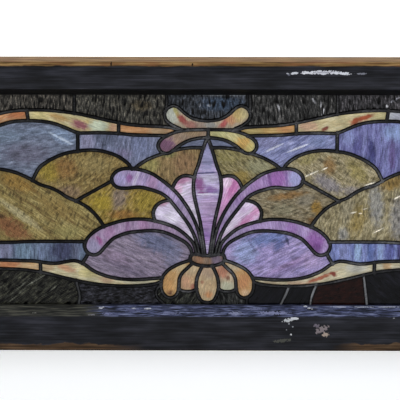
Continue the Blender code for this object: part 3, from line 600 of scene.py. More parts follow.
            (76, 95, 14, 7, "7f7a62", .7), (105, 84, 6, 5, "6a4a1e", .7)]),
    "leftFarHill": dict(
        at=(-180, 90), slot="amber_glass", angle=-34, ripple=66, streak=(0.055, 0.007), tones="5e4a2a 80703f a3945f",
        patches=[
            (-196, 76, 24, 10, "7a5030", .9, -34), (-190, 122, 22, 8, "8a6a2c", .8, -25),
            (-150, 96, 24, 9, "87703c", .6, -30), (-188, 90, 28, 4.2, "ada47c", .7, -36),
            (-140, 72, 16, 8, "8b8450", .6)]),
    "rightFarHill": dict(
        at=(180, 90), slot="amber_glass", angle=74, ripple=84, streak=(0.022, 0.010), tones="665c40 8b8060 aca282",
        patches=[
            (169, 100, 8, 26, "8d8f92", .65, 4), (190, 86, 9, 24, "83848c", .6), (150, 84, 9, 18, "8c7634", .6, -14),
            (140, 96, 7, 14, "8c8570", .6, -10), (184, 122, 14, 8, "85682c", .8, 20), (136, 70, 6, 8, "83868c", .6),
            # The last five patches, thin and near white, are painted glints
            (190, 107.5, 4.5, 0.9, "f4ecda", 1, 30), (146, 92.2, 3.5, 0.8, "f4ecda", 1, 12),
            (153, 91.4, 1.8, 0.7, "f4ecda", 1), (171, 74.2, 6, 0.8, "ece4d2", 1, 28),
            (158, 96, 3, 0.7, "e8dfc8", .9, 20)]),
    "leftNearSky": dict(
        at=(-95, 162), slot="blue_glass", angle=80, streak=(0.022, 0.006), tones="4e5672 727a9e 8d92b6", patches=[
            (-100, 166, 14, 9, "4d5670", .85), (-120, 162, 8, 12, "8c89ac", .8), (-66, 158, 12, 14, "6a76a0", .7),
            (-84, 150, 10, 6, "7c6f98", .6)]),
    "rightNearSky": dict(
        at=(95, 162), slot="blue_glass", angle=32, streak=(0.022, 0.005), tones="5d66a0 7a82bc 9aa0d2", patches=[
            (66.5, 156.6, 11, 1.2, "dcdff2", .95, 25), (90.5, 156.4, 12, 1.1, "dcdff2", .95, 22),
            (60, 162, 12, 8, "7f7fae", .7), (112, 164, 12, 8, "6f80b6", .7), (74, 144, 8, 8, "8487bd", .6)]),
    "leftFarSky": dict(
        at=(-160, 160), slot="blue_glass", angle=8, streak=(0.02, 0.006), tones="525b73 6a7590 8491ac", patches=[
            (-145, 168, 14, 8, "7d97bc", .8, -25), (-180, 150, 26, 12, "66627a", .7),
            (-200, 168, 18, 8, "687e98", .7), (-172, 172, 22, 4, "7589a8", .6),
            (-143, 164, 9, 1.5, "c2d2ea", .9, -28), (-152, 168.5, 8, 1.2, "b4c6e0", .8, -28)]),
    "rightFarSky": dict(
        at=(160, 160), slot="blue_glass", angle=84, streak=(0.04, 0.0055), tones="4c478c 696ab0 7f86c8", patches=[
            (188, 172, 14, 10, "7f9ad4", .9), (164, 153, 4, 16, "2c2c78", .95, 6), (148, 158, 3, 12, "3c3a86", .8, 4),
            (184, 150, 4, 18, "5a3f88", .8), (140, 168, 8, 10, "7a86c4", .8), (152, 160, 2.5, 12, "45408a", .8),
            (160, 142, 6, 8, "3f4a94", .7)]),
    "leftWater": dict(
        at=(-180, 53), slot="blue_glass", angle=88, streak=(0.03, 0.006), tones="434e6e 5c6f90 768fac", patches=[
            (-145, 53, 15, 14, "373c62", .95), (-132, 53, 5, 12, "5d6484", .8), (-185, 53, 9, 14, "6f8fac", .8),
            (-204, 53, 9, 14, "7c7ea2", .9), (-165, 53, 5, 14, "6d80a8", .7)]),
    "rightWater": dict(
        at=(180, 53), slot="blue_glass", angle=90, streak=(0.03, 0.006), tones="4c5aa2 6c7cc4 8a9ad8", patches=[
            (151, 53, 4, 14, "8fb2e2", .9), (163, 53, 4, 14, "3f5eae", .8), (173, 53, 3, 14, "86a4da", .8),
            (183, 53, 5, 14, "3f459a", .85), (193, 53, 4, 14, "3a327a", .9), (137, 53, 6, 12, "7f88c6", .7)]),
    "leftUpperRibbon": dict(
        at=(-65, 174), slot="cream_glass", angle=0, streak=(0.03, 0.005), tones="b5783e c48c54 c9a074", patches=[
            (-48, 173, 12, 6, "a08866", .8), (-78, 176, 9, 6, "c58748", .6)]),
    "rightUpperRibbon": dict(
        at=(65, 174), slot="cream_glass", angle=0, streak=(0.03, 0.005), tones="a8843e bd9850 c9a96a", patches=[
            (78, 176, 10, 6, "c98a4c", .8), (46, 172, 10, 5, "b3a262", .8)]),
    "leftCrestRibbon": dict(
        at=(-130, 180), slot="cream_glass", angle=-18, streak=(0.03, 0.006), tones="bda668 cdbd86 d6cca0", patches=[
            (-127, 179, 11, 5, "96505e", .95, -20), (-108, 178, 11, 7, "bdc8b0", .95), (-94, 176, 5, 6, "b88a6a", .9),
            (-148, 186, 10, 4, "b3843c", .7, -20), (-168, 188, 10, 5, "cfc07e", .7)]),
    "rightCrestRibbon": dict(
        at=(130, 180), slot="cream_glass", angle=14, streak=(0.03, 0.007), tones="c0ac7c cfc08f d8cda6", patches=[
            (100, 178, 12, 6, "c39a7c", .9), (117.5, 175.6, 4.5, 2.4, "7c2c20", .95, 30),
            (152, 181, 10, 4, "c69a80", .8, 10), (155, 186.2, 14, 2.8, "a84812", 1, 16),
            (146.5, 182.5, 5, 3.2, "a84812", .95, 45), (172, 188, 8, 5, "cfc58c", .8)]),
    "leftTurningRibbon": dict(
        at=(-200, 186.5), slot="cream_glass", angle=20, streak=(0.03, 0.006), tones="b5763e c68c56 cba27a", patches=[
            (-190, 189, 12, 4, "b5652c", .8, 10)]),
    "rightTurningRibbon": dict(
        at=(200, 186.5), slot="cream_glass", angle=-20, streak=(0.03, 0.006), tones="aab0a8 babcc0 c8c8cc", patches=[
            (190, 188, 10, 5, "b4b8cc", .7)]),
    "leftRibbonFall": dict(
        at=(-290, 108), node="left_turning_ribbon", slot="cream_glass", angle=60, streak=(0.03, 0.006),
        tones="b98a52 c8a070 cfb48a"),
    "rightRibbonFall": dict(
        at=(290, 108), node="right_turning_ribbon", slot="cream_glass", angle=-60, streak=(0.03, 0.006),
        tones="b9ad88 c6bd9c d0c9b0"),
    "leftLowerRibbon": dict(
        at=(-110, 25), slot="cream_glass", angle=-8, streak=(0.03, 0.006), tones="bfae84 cdc196 d6ceac", patches=[
            (-101, 24, 8, 4, "c39e7c", .8, -10), (-142, 36, 12, 3.5, "c59066", .9, -20),
            (-120, 32, 12, 6, "cfc27e", .8), (-68, 22, 16, 3, "b9b39a", .7), (-160, 37, 7, 5, "c6a478", .8)]),
    "rightLowerRibbon": dict(
        at=(110, 25), slot="cream_glass", angle=14, streak=(0.03, 0.006), tones="bfb08c ccc2a0 d4ccb2", patches=[
            (113, 26.5, 17, 2.2, "a8502c", .95, 21), (126.5, 30.6, 4, 2.6, "7e2412", .95, -30),
            (90, 21, 12, 3, "c2a080", .8), (150, 37, 12, 6, "c4c3bb", .8), (62, 21, 12, 3, "bba584", .7)]),
    "leftCornerRibbon": dict(
        at=(-180, 39), slot="cream_glass", angle=0, streak=(0.03, 0.006), tones="bd9058 c9a574 d0b48c", patches=[
            (-200, 40, 14, 6, "b9703c", .9)]),
    "rightCornerRibbon": dict(
        at=(180, 39), slot="cream_glass", angle=0, streak=(0.03, 0.006), tones="b5a988 c5bc9e cfc8b2", patches=[
            (180, 39, 5, 5, "b98a52", .7)]),
    "topMiddle": dict(
        at=(0, 200), node="dark_top", slot="dark_glass", angle=88, streak=(0.016, 0.003),
        tones="0d0f12 181a1e 2c2f36", patches=[
            # After the first patch: a painted line of light along the top edge, then two painted glints
            (14, 200, 24, 8, "18222f", .8), (16, 208.4, 26, 0.9, "44474c", .8), (-8, 199, 1.6, 2.2, "44474e", 1),
            (2, 198.4, 2.4, 1.4, "44474e", 1)]),
    "topLeft": dict(
        at=(-85, 200), node="dark_top", slot="dark_glass", angle=84, streak=(0.012, 0.0028),
        tones="0f0f0e 1f1e1b 3c3932", patches=[
            (-66, 198, 12, 6, "2b2416", .6)]),
    "topRight": dict(
        at=(85, 200), node="dark_top", slot="dark_glass", angle=92, streak=(0.014, 0.0028),
        tones="080808 161616 383736", patches=[
            # These patches are painted glints on the ripples
            (70.6, 197, 1.2, 4.4, "606064", 1, 10), (115, 192.3, 1.2, 4.2, "68686c", 1, -15),
            (106, 203, 1.2, 3.2, "5a5a5e", 1, 30), (112.6, 200, 1.0, 3.6, "5a5a5e", 1)]),
    "topOuterLeft": dict(
        at=(-190, 202), node="dark_top", slot="dark_glass", angle=86, streak=(0.012, 0.003),
        tones="100f0d 201e1b 3b3731"),
    "topOuterRight": dict(
        at=(190, 202), node="dark_top", slot="dark_glass", angle=94, streak=(0.012, 0.003),
        tones="0d0d0e 1b1a1c 363437", patches=[
            # These two patches are painted glints
            (178.6, 198, 1.5, 1.8, "6c6c70", 1), (186, 204, 6, 1.2, "55555c", 1, 30)]),
    "cornerLeft": dict(
        at=(-325, 120), node="dark_top", slot="dark_glass", angle=90, streak=(0.014, 0.003),
        tones="0f0f0f 1d1d1c 363534"),
    "cornerRight": dict(
        at=(325, 120), node="dark_top", slot="dark_glass", angle=90, streak=(0.014, 0.003),
        tones="0f0f0f 1d1d1c 363534"),
    "bottomInnerLeft": dict(
        at=(-24, 2), node="dark_bottom_left", slot="dark_glass", angle=60, streak=(0.014, 0.003),
        tones="0a0b09 141512 292a24"),
    "bottomLeft": dict(
        at=(-95, 8), node="dark_bottom_left", slot="dark_glass", angle=15, streak=(0.012, 0.003),
        tones="08080a 101014 1e1e24"),
    "bottomFarLeft": dict(
        at=(-210, 15), node="dark_bottom_left", slot="dark_glass", angle=38, streak=(0.022, 0.003),
        tones="0a0a08 131310 28281f", patches=[
            (-186, 19, 14, 0.8, "3a3b34", .8, 40), (-192, 8, 12, 0.8, "34352e", .8, 40),
            (-172, 24, 12, 0.8, "45463e", .7, 32), (-160, 12, 12, 0.8, "3f4038", .7, 36)]),
    "bottomInnerRight": dict(
        at=(20, 2), node="dark_bottom_right", slot="dark_glass", angle=100, streak=(0.014, 0.003),
        tones="0c0c0c 161716 272726"),
    "bottomMiddleRight": dict(
        at=(60, 8), node="dark_bottom_right", slot="dark_glass", relief="calm", angle=55, streak=(0.03, 0.004),
        tones="08080c 101016 1b1b24"),
    "bottomRight": dict(
        at=(92, 10), node="dark_bottom_right", slot="dark_glass", relief="calm", angle=60, streak=(0.03, 0.004),
        tones="08080c 101015 1c1c24"),
    "redPane": dict(
        at=(130, 8), node="dark_red", slot="dark_red_glass", angle=10, streak=(0.01, 0.004),
        tones="140706 270c08 3a1710"),
    "bottomFarRight": dict(
        at=(220, 15), node="dark_bottom_far_right", slot="dark_glass", relief="calm", angle=-40, streak=(0.02, 0.004),
        tones="07070a 101015 20202a"),
}


# A piece's mesh with its modifiers settled; the piece itself goes
def settledBody(piece):
    bpy.context.view_layer.update()
    mesh = bpy.data.meshes.new_from_object(piece.evaluated_get(bpy.context.evaluated_depsgraph_get()))
    body = bmesh.new()
    body.from_mesh(mesh)
    bpy.data.objects.remove(piece)
    bmesh.ops.remove_doubles(body, verts=body.verts, dist=touching["pane"])
    return body


def pieceFrom(body, name):
    mesh = bpy.data.meshes.new(name)
    body.to_mesh(mesh)
    body.free()
    piece = bpy.data.objects.new(name, mesh)
    scene.collection.objects.link(piece)
    return piece


wallReach = 0.005


# Thin walls along the leads, which cut the sheet into panes
def glassCuts(lines):
    body = bmesh.new()
    for line in lines:
        loop = isLoop(line)
        points = line[:len(line) - loop]
        row = [body.verts.new((point.x, panelMiddle - wallReach, point.y)) for point in points]
        for start, end in zip(row, row[1:] + row[:loop]):
            body.edges.new((start, end))
    raised = bmesh.ops.extrude_edge_only(body, edges=body.edges[:])["geom"]
    verts = [item for item in raised if isinstance(item, bmesh.types.BMVert)]
    bmesh.ops.translate(body, vec=(0, 2 * wallReach, 0), verts=verts)
    bmesh.ops.recalc_face_normals(body, faces=body.faces)
    piece = pieceFrom(body, "glassCuts")
    wall = piece.modifiers.new("thickness", "SOLIDIFY")
    wall.thickness = 2 * (came["heart"] + glassSheet["gap"])
    wall.offset = 0
    wall.use_even_offset = True
    return pieceFrom(settledBody(piece), "glassWalls")


# The faces of each pane in turn, always in the same order
def paneIslands(body):
    left = dict.fromkeys(body.faces)
    while left:
        island = [left.popitem()[0]]
        for face in island:
            for edge in face.edges:
                for other in edge.link_faces:
                    if other in left:
                        del left[other]
                        island.append(other)
        yield island


def paneBody(faces):
    body = bmesh.new()
    copies = {}
    for face in faces:
        for vert in face.verts:
            if vert not in copies:
                copies[vert] = body.verts.new(vert.co)
        body.faces.new([copies[vert] for vert in face.verts])
    return body


# Straight cuts across a body, a cell apart along its x or z axis
def ruleAcross(body, axis, start, cell):
    end = max(vert.co[axis] for vert in body.verts)
    while start < end:
        at = (start, 0, 0) if axis == 0 else (0, 0, start)
        everything = body.verts[:] + body.edges[:] + body.faces[:]
        bmesh.ops.bisect_plane(body, geom=everything, plane_co=at, plane_no=(1 - axis / 2, 0, axis / 2),
                               dist=touching["cut"])
        start += cell


# A pane is ruled into small cells and its two faces are raised and sunk into the relief of rolled glass; each point
# keeps its height for the painted shade of hollows and painted highlight of crests
def rollRelief(body, look, seed):
    kind = reliefs[look["relief"]]
    shade = body.verts.layers.float.new("relief")
    bmesh.ops.dissolve_limit(body, angle_limit=glassSheet["level"], verts=body.verts, edges=body.edges)
    for axis in (0, 2):
        cell = kind["cell"][axis // 2] * glassSheet["coarser"]
        start = min(vert.co[axis] for vert in body.verts)
        ruleAcross(body, axis, (start // cell + 1) * cell, cell)
    turn = radians(look["ripple"])
    for vert in body.verts:
        side = -1 if vert.co.y < panelMiddle else 1
        along = vert.co.x * cos(turn) + vert.co.z * sin(turn)
        across = vert.co.z * cos(turn) - vert.co.x * sin(turn)
        swayAt = Vector((along / rolled["swayEvery"], across / rolled["swayEvery"], seed + 5))
        sway = rolled["sway"] * noise.noise(swayAt)
        wave = noise.noise(Vector((along / kind["size"][0], across / kind["size"][1] + sway, seed + side * 20)))
        ridge = rolled["ridgeTop"] - 2 * abs(wave)
        height = kind["height"] * (wave * (1 - kind["ridge"]) + ridge * kind["ridge"])
        # Painted shade in the hollows and painted highlight on the crests, from the wave's height
        vert[shade] = 0.5 + rolled["shadeGain"] * height / kind["height"]
        fineAt = Vector((vert.co.x / rolled["fineEvery"], vert.co.z / rolled["fineEvery"], seed + 40))
        height += kind["fine"] * noise.noise(fineAt)
        vert.co.y += side * min(max(height, -rolled["most"]), rolled["most"])
    bmesh.ops.recalc_face_normals(body, faces=body.faces)


# Roughness and specular level of dark glass and of the rest
gloss = {True: (0.11, 0.1), False: (0.26, 0.14)}

# Length and width of a fleck of hatching, and its turn from the ripple
hatching = (((0.0060, 0.0011), 0), ((0.0034, 0.0010), 80))


# Streaky glass: tones rolled together along the streaks, the stronger patches, then wisps, painted shade in the
# relief's hollows and painted highlight on its crests, and hatching over them
def glassFinish(name, look, seed):
    material, tree, shader = newFinish(name, *gloss[look["slot"].startswith("dark")])
    kind, unit = reliefs[look["relief"]], glassSheet["patchUnit"]
    long, wide = look["streak"]
    at = (seed * 0.137, seed * 0.211)
    warp = kind.get("warp", 0.5)
    streaks = grain(tree, (long, wide), look["angle"], at, detail=4, roughness=0.6, warp=warp)
    colour = toned(tree, streaks, look["tones"])
    for x, z, reach, rise, tint, strength, *angle in look["patches"]:
        share = patch(tree, cartoonPoint(x, z), (reach * unit, rise * unit), strength, *angle, rough=0.2, fine=0.006)
        colour = blended(tree, share, colour, tint)
    wisps = ranged(tree, grain(tree, (long * 0.5, wide * 0.22), look["angle"], at, detail=3), 0.38, 0.68, 0.74, 1.2)
    colour = blended(tree, 1.0, colour, wisps, "MULTIPLY")
    # Painted shade and highlight: the colour darkens in the relief's hollows and lightens on its crests
    relief = tree.nodes.new("ShaderNodeAttribute")
    relief.attribute_name = "relief"
    low, high = kind["shade"]
    shade = ranged(tree, relief.outputs["Fac"], 0.15, 0.85, low, high)
    shade = combined(tree, "POWER", shade, kind.get("contrast", 1.0))
    colour = blended(tree, 1.0, colour, shade, "MULTIPLY")
    speck = (1 - low) * 0.5
    for size, turn in hatching:
        flecks = grain(tree, size, look["ripple"] + turn, at, detail=2, warp=warp)
        colour = blended(tree, 1.0, colour, ranged(tree, flecks, 0.36, 0.64, 1 - speck, 1 + speck), "MULTIPLY")
    aged = tree.nodes.new("ShaderNodeHueSaturation")
    aged.inputs["Saturation"].default_value, aged.inputs["Value"].default_value = glassKinds[look["slot"]][1:]
    tree.links.new(colour, aged.inputs["Color"])
    tree.links.new(aged.outputs["Color"], shader.inputs["Base Color"])
    bumped(tree, shader, combined(tree, "MULTIPLY", grain(tree, (0.0022, 0.0022), 0, at, detail=2), kind["bump"]))
    return material


# A pane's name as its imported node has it
def packedName(name):
    return "".join("_" + letter.lower() if letter.isupper() else letter for letter in name)


# One sheet over the whole panel, cut along the leads into panes, each with its own relief and glass
def makePanes():
    lines = [line for group in leadLines(glassSheet["steps"])[:2] for line in group]
    half, edge = glassSheet["thickness"] / 2, glassSheet["edge"]
    body = bmesh.new()
    bmesh.ops.create_cube(body, size=1)
    low = Vector((panelLow.x + edge, panelMiddle - half, panelLow.z + edge))
    high = Vector((panelHigh.x - edge, panelMiddle + half, panelHigh.z - edge))
    bmesh.ops.scale(body, vec=high - low, verts=body.verts)
    bmesh.ops.translate(body, vec=(low + high) / 2, verts=body.verts)
    sheet = pieceFrom(body, "glassSheet")
    cuts = glassCuts(lines)
    step = sheet.modifiers.new("cuts", "BOOLEAN")
    step.operation = "DIFFERENCE"
    step.object = cuts
    step.solver = "EXACT"
    step.use_self = True
    parted = settledBody(sheet)
    bpy.data.objects.remove(cuts)
    print("sheet cut into panes")
    parted.faces.ensure_lookup_table()
    tree = BVHTree.FromBMesh(parted)
    owner = {}
    for island in paneIslands(parted):
        for face in island:
            owner[face.index] = island
    for seed, (name, given) in enumerate(glassPanes.items()):
        look = {"node": packedName(name), "relief": glassKinds[given["slot"]][0], "ripple": given["angle"],
                "patches": []} | given
        point = cartoonPoint(*look["at"])
        index = tree.ray_cast((point.x, -1, point.y), (0, 1, 0))[2]
        pane = paneBody(owner[index])
        rollRelief(pane, look, seed)
        finishedPiece(name, pane, glassFinish(name + "Glass", look, seed), [look["node"]], look["slot"], radians(60))
    parted.free()


makePanes()
print("panes rolled")

sash = {"arris": 0.0006, "cell": 0.012, "dent": 0.00018, "waves": 45, "level": 0.01, "sharp": 0.3}


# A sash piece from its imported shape, with its sharp arrises eased and its flat faces a little uneven
def easedWood(name, node, along):
    body = bmesh.new()
    body.from_mesh(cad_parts[node].data)
    bmesh.ops.remove_doubles(body, verts=body.verts, dist=touching["sash"])
    bmesh.ops.dissolve_limit(body, angle_limit=sash["level"], verts=body.verts, edges=body.edges)
    sharp = [edge for edge in body.edges if edge.calc_face_angle(0) > sash["sharp"]]
    bmesh.ops.bevel(body, geom=sharp, offset=sash["arris"], offset_type="OFFSET", segments=2, profile=0.5,
                    affect="EDGES", clamp_overlap=True, material=-1)
    ruleAcross(body, along, min(vert.co[along] for vert in body.verts) + sash["cell"], sash["cell"])
    bmesh.ops.recalc_face_normals(body, faces=body.faces)
    for vert in body.verts:
        sink = sash["dent"] * (0.5 + 0.5 * noise.noise(vert.co * sash["waves"]))
        vert.co -= vert.normal * sink
    return body


# Where one look of the sash gives way to the next: heights from the floor, depths behind the front face or below
# the top, and places across
sashWear = {
    "ledge": (0.0555, 0.0575), "ledgeTop": (0.0715, 0.0705), "ledgeDepth": (0.0015, 0.0005), "dusty": (-0.165, -0.12),
    "stainedTop": (0.0072, 0.0042), "bareTop": (0.0074, 0.0062), "topWander": 0.0009,
    "bareFoot": (0.0125, 0.0105), "footWander": 0.004, "footLeft": (-0.10, -0.17), "footRight": (0.20, 0.245),
    "under": (0.0012, 0.0006), "ends": (0.006, 0.005), "darkFoot": (0.03, 0.02), "bevelDepth": (0.0008, 0.0016),
    "front": (0.004, 0.003),
}


# Old black paint on softwood: brushed, bare along the sash's outer edges, chipped to white primer in places
def sashFinish(name, along):
    material, tree, shader = newFinish(name, 0.42, specular=0.1)
    turn = 0 if along == 0 else 90
    x, y, z = axesOf(tree)

    def between(value, key, start=0, way=1):
        return ranged(tree, value, *(start + way * place for place in sashWear[key]))

    def strayed(size, reach):
        return combined(tree, "ADD", z, ranged(tree, grain(tree, size, detail=3), 0.3, 0.7, -reach, reach))

    brushed = grain(tree, (0.09, 0.0022, 0.0022), turn, detail=4, roughness=0.6)
    broad = grain(tree, (0.06, 0.014, 0.02), turn, detail=2)
    paint = toned(tree, combined(tree, "MULTIPLY_ADD", brushed, 0.5, combined(tree, "MULTIPLY", broad, 0.5)),
                  "0f1012 1a1b1f 26272d 36373f", 0.34, 0.66)
    # Ledge of the bottom rail: dusty towards the left, and to the right a painted bluish reflection of the light above,
    # streaked along the brush strokes
    sideways = combined(tree, "ABSOLUTE", x, 0)
    slope = combined(tree, "MULTIPLY", between(z, "ledge"), between(z, "ledgeTop"))
    slope = combined(tree, "MULTIPLY", slope, ranged(tree, sideways, sightRight + 0.0005, sightRight - 0.0005))
    slope = combined(tree, "MULTIPLY", slope, between(y, "ledgeDepth", panelLow.y))
    # Painted reflection: the bluish tones stand in for the light above, mirrored in the black paint
    ledgeReflection = toned(tree, grain(tree, (0.02, 0.0016, 0.0016), 0, detail=4, warp=0.6), "171922 303446 50567a 868dae",
                      0.4, 0.64)
    dustTone = toned(tree, grain(tree, (0.03, 0.002, 0.002), 0, detail=4), "1a1a19 34342f 55544a", 0.38, 0.62)
    rightward = between(combined(tree, "MULTIPLY_ADD", grain(tree, (0.02, 0.006), detail=2), 0.06, x), "dusty")
    paint = blended(tree, slope, paint, blended(tree, rightward, dustTone, ledgeReflection))
    # Bare wood
    woodGrain = combined(tree, "MULTIPLY_ADD", grain(tree, (0.12, 0.0016, 0.0016), turn, detail=5, roughness=0.65), 0.7,
                         combined(tree, "MULTIPLY", grain(tree, (0.05, 0.008, 0.008), turn, detail=2), 0.3))
    wood = toned(tree, woodGrain, "2c1f12 5d4629 876a42 a48558", 0.38, 0.62)
    height = strayed((0.025, 0.02, 0.02), sashWear["topWander"])
    ruddy = ranged(tree, grain(tree, (0.04, 0.003, 0.003), turn, (0.3, 0.2), detail=3), 0.48, 0.62, 0, 0.7)
    wood = blended(tree, ruddy, wood, "7c5236")
    stainLow, stainHigh = sashWear["stainedTop"]
    stained = ranged(tree, height, cadBox[1].z - stainLow, cadBox[1].z - stainHigh, 0.42, 1.0)
    wood = blended(tree, 1.0, wood, stained, "MULTIPLY")
    bareTop = between(height, "bareTop", cadBox[1].z, -1)
    footShare = combined(tree, "MAXIMUM", between(x, "footLeft"), between(x, "footRight"))
    footHeight = strayed((0.03, 0.02, 0.02), sashWear["footWander"])
    bareFoot = combined(tree, "MULTIPLY", between(footHeight, "bareFoot"), footShare)
    ends = between(sideways, "ends", cadBox[1].x, -1)
    bare = combined(tree, "MAXIMUM", bareTop, bareFoot)
    bare = combined(tree, "MAXIMUM", bare, combined(tree, "MAXIMUM", between(z, "under"), ends))
    footTone = toned(tree, woodGrain, "2a2018 4c3a2a 6b5642", 0.38, 0.62)
    wood = blended(tree, between(z, "darkFoot"), wood, footTone)
    upright = toned(tree, woodGrain, "2c1f12 5d4629 876a42 9c7f56", 0.38, 0.62)
    wood = blended(tree, ends, wood, upright)
    # Painted shade: the bevel over the glass, under the top rail, is painted near black
    shaded = combined(tree, "MULTIPLY", ranged(tree, z, sightHead - 0.001, sightHead),
                      between(y, "bevelDepth", faceFront))
    paint = blended(tree, shaded, paint, "040405")
    colour = blended(tree, bare, paint, wood)
    # Chips and scuffs on the front face, then pale marks on the ledge: scrapes, and brighter spots of its painted
    # reflection
    frontOnly = between(y, "front", faceFront)
    for at, size, tint, strength, angle in sashMarks:
        share = combined(tree, "MULTIPLY", patch(tree, at, size, strength, angle, 0.5, 0.003, 0.12), frontOnly)
        colour = blended(tree, share, colour, tint)
    for at, size, tint, strength in ledgeMarks:
        share = combined(tree, "MULTIPLY", patch(tree, at, size, strength, 0, 0.6, 0.0026, 0.3), slope)
        colour = blended(tree, share, colour, tint)
    tree.links.new(colour, shader.inputs["Base Color"])
    sheen = ranged(tree, brushed, 0.35, 0.65, 0.34, 0.5)
    tree.links.new(combined(tree, "MAXIMUM", sheen, combined(tree, "MULTIPLY", bare, 0.75)), shader.inputs["Roughness"])
    bumped(tree, shader, combined(tree, "MULTIPLY", brushed, 0.0004))
    return material


# Chips and scuffs on the front face: x and z in metres, half width and half height, colour, strength and angle
sashMarks = [
    ((0.184, 0.4554), (0.034, 0.0046), "c4c5ce", 1, 1), ((0.158, 0.4550), (0.014, 0.0036), "d0d1d8", 1, 0),
    ((0.184, 0.4552), (0.022, 0.0012), "8f919c", .9, 1), ((0.212, 0.4542), (0.020, 0.0034), "ccced6", 1, -4),
    ((0.137, 0.4540), (0.010, 0.0026), "c4c6ce", 1, 6), ((0.128, 0.4534), (0.005, 0.0018), "b9bac4", 1, 0),
    ((0.246, 0.4535), (0.016, 0.0020), "80828e", .8, 0), ((0.128, 0.4520), (0.004, 0.003), "6f7180", .5, 0),
    ((0.131, 0.0510), (0.014, 0.0045), "b9bcc0", 1, 12), ((0.139, 0.0535), (0.010, 0.0030), "c9cbd0", 1, 0),
    ((0.134, 0.0270), (0.0026, 0.0026), "d6d8dc", 1, 0), ((0.131, 0.0450), (0.0020, 0.0016), "9fa3aa", .9, 0),
    ((0.137, 0.0400), (0.0016, 0.0014), "9fa3aa", .8, 0), ((0.127, 0.0350), (0.0014, 0.0014), "8a8e96", .8, 0),
    ((0.184, 0.0355), (0.016, 0.0075), "857b7e", .9, 25), ((0.190, 0.0270), (0.009, 0.0055), "a8988c", 1, 30),
    ((0.176, 0.0420), (0.008, 0.004), "7c7480", .7, 0),
    ((0.120, 0.0170), (0.022, 0.004), "5c5d55", .6, 8), ((0.2985, 0.0545), (0.0022, 0.0014), "9a9ca6", .8, 0),
    ((-0.024, 0.4680), (0.0022, 0.003), "1a0f08", 1, 0), ((-0.152, 0.4690), (0.0016, 0.008), "1a0f08", 1, 0),
]

# Pale marks on the ledge, scrapes and brighter spots of its painted reflection: x and z in metres, half width and half
# height, colour and strength
ledgeMarks = [
    ((0.212, 0.0688), (0.022, 0.0009), "b4b8c8", 1), ((0.250, 0.0687), (0.026, 0.0009), "b4b8c8", 1),
    ((0.292, 0.0689), (0.024, 0.0009), "b4b8c8", 1), ((0.170, 0.0686), (0.012, 0.0007), "8f93a6", .8),
    ((0.046, 0.0606), (0.014, 0.0032), "9196b4", .8), ((0.106, 0.0612), (0.034, 0.0030), "8e92b4", .8),
    ((0.075, 0.0660), (0.020, 0.0020), "7f84a8", .6), ((-0.185, 0.0584), (0.008, 0.0007), "8c8a96", .9),
    ((-0.276, 0.0606), (0.006, 0.0009), "7c7b74", .9), ((-0.160, 0.0600), (0.010, 0.0024), "8488ae", .7),
    ((-0.120, 0.0640), (0.018, 0.0030), "6c7096", .6), ((-0.060, 0.0605), (0.020, 0.0022), "7d82a4", .6),
]

for name, node, along in (("bottomRail", "bottom_rail", 0), ("topRail", "top_rail", 0), ("leftStile", "left_stile", 2),
                          ("rightStile", "right_stile", 2)):
    finishedPiece(name, easedWood(name, node, along), sashFinish(name + "Paint", along), [node], "painted_wood",
                  radians(35))
beadMaterials = {0: sashFinish("beadPaintAlong", 0), 2: sashFinish("beadPaintUp", 2)}
for node, along in (("left_bead", 2), ("right_bead", 2), ("bottom_bead", 0), ("top_bead", 0)):
    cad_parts[node].data.materials.clear()
    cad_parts[node].data.materials.append(beadMaterials[along])
print("sash painted")

putty = {"slope": 0.75, "inFront": 0.0085, "deep": 1.4, "lump": 0.35, "millimetre": 0.001}

# Crumbs of old putty on the ledge, as x and z in the cartoon, half width and half height in millimetres
puttyCrumbs = [(-60, -2.4, 5.0, 1.3), (-57.5, -2.2, 2.0, 1.0), (-74, -2.2, 3.6, 0.8), (-107, -2, 3.4, 1.5),
               (-104.5, -1.2, 1.8, 1.0), (98.4, -0.4, 3.4, 1.3), (102.2, -1.8, 2.8, 1.2), (105, -2.4, 1.4, 0.8)]


def makePutty():
    body = bmesh.new()
    for place, (x, z, wide, tall) in enumerate(puttyCrumbs):
        point = cartoonPoint(x, z)
        crumb = bmesh.ops.create_icosphere(body, subdivisions=3, radius=1)["verts"]
        deep = panelLow.y - putty["inFront"] - (sightFoot - point.y) / putty["slope"]
        for vert in crumb:
            lump = 1 + putty["lump"] * noise.noise(vert.co * 1.9 + Vector((place * 3.1, 0, 0)))
            size = Vector((vert.co.x * wide, vert.co.y * putty["deep"], vert.co.z * tall))
            vert.co = size * lump * putty["millimetre"]
        bmesh.ops.translate(body, vec=(point.x, deep, point.y), verts=crumb)
    material, tree, shader = newFinish("oldPutty", 0.7)
    chalk = toned(tree, grain(tree, (0.002, 0.002), detail=3), "8f919c c4c6cf e4e5ea")
    tree.links.new(chalk, shader.inputs["Base Color"])
    finishedPiece("puttyCrumbs", body, material, [], "painted_wood")


makePutty()
print("putty crumbs laid")

floor = {"size": 40.0, "colour": "f6f6f4", "glow": 0.36}
bpy.ops.mesh.primitive_plane_add(size=floor["size"], location=(0, 0, 0))
floorPiece = bpy.context.object
floorPiece.name = "studioFloor"
floorMaterial, _, floorShader = newFinish("floorPaper", 0.8, specular=0.1)
floorShader.inputs["Base Color"].default_value = lightOf(floor["colour"])
floorShader.inputs["Emission Color"].default_value = lightOf(floor["colour"])
floorShader.inputs["Emission Strength"].default_value = floor["glow"]
floorPiece.data.materials.append(floorMaterial)

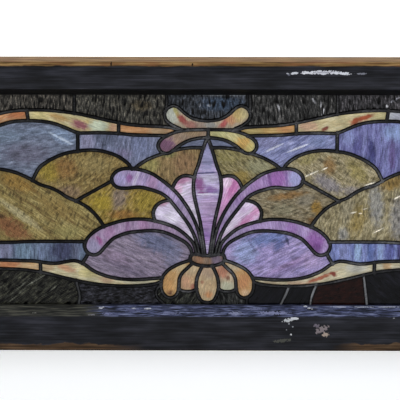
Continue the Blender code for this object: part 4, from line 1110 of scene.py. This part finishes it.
lights = {
    "overhead": {"at": (0, -0.15, 2.6), "size": (3.0, 1.8), "power": 36, "colour": (0.86, 0.91, 1.0)},
    "frontLeft": {"at": (-2.4, -3.0, 1.7), "size": (1.6, 1.2), "power": 24, "colour": (1.0, 0.98, 0.95)},
    "frontRight": {"at": (2.6, -2.6, 1.4), "size": (1.4, 1.2), "power": 18, "colour": (1.0, 0.98, 0.96)},
    "glint": {"at": (0.7, -2.6, 2.0), "size": (0.12, 0.12), "power": 8, "colour": (1.0, 1.0, 1.0)},
    "behind": {"at": (0, 3.4, 2.6), "size": (5.0, 2.4), "power": 150, "colour": (1.0, 1.0, 1.0)},
}


def aimed(place, target):
    return (Vector(target) - Vector(place)).to_track_quat("-Z", "Y").to_matrix().to_4x4()


for name, lamp in lights.items():
    data = bpy.data.lights.new(name, "AREA")
    data.shape = "RECTANGLE"
    data.size, data.size_y = lamp["size"]
    data.energy = lamp["power"]
    data.color = lamp["colour"]
    lampPiece = bpy.data.objects.new(name, data)
    scene.collection.objects.link(lampPiece)
    lampPiece.matrix_world = Matrix.Translation(lamp["at"]) @ aimed(lamp["at"], (0, 0, 0.2))
studio = {"colour": (0.92, 0.95, 1.0, 1), "strength": 0.25}
world = bpy.data.worlds.new("studio")
scene.world = world
world.use_nodes = True
world.node_tree.nodes["Background"].inputs["Color"].default_value = studio["colour"]
world.node_tree.nodes["Background"].inputs["Strength"].default_value = studio["strength"]

camera = {"distance": 7.0, "elevation": 13.0, "yaw": 0.5, "metresAcross": 0.6392, "middle": (-7.4, 104.7),
          "sensor": 36}
target = cartoonPoint(*camera["middle"])
target = Vector((target.x, panelLow.y, target.y))
lean, swing = radians(camera["elevation"]), radians(camera["yaw"])
offset = Vector((sin(swing) * cos(lean), -cos(swing) * cos(lean), sin(lean))) * camera["distance"]
lens = bpy.data.cameras.new("photoCamera")
lens.sensor_width = camera["sensor"]
lens.lens = camera["sensor"] * camera["distance"] / camera["metresAcross"]
cameraPiece = bpy.data.objects.new("photoCamera", lens)
scene.collection.objects.link(cameraPiece)
cameraPiece.matrix_world = Matrix.Translation(target + offset) @ aimed(target + offset, target)
scene.camera = cameraPiece
scene.view_settings.view_transform = "Standard"

print("camera and lights set")
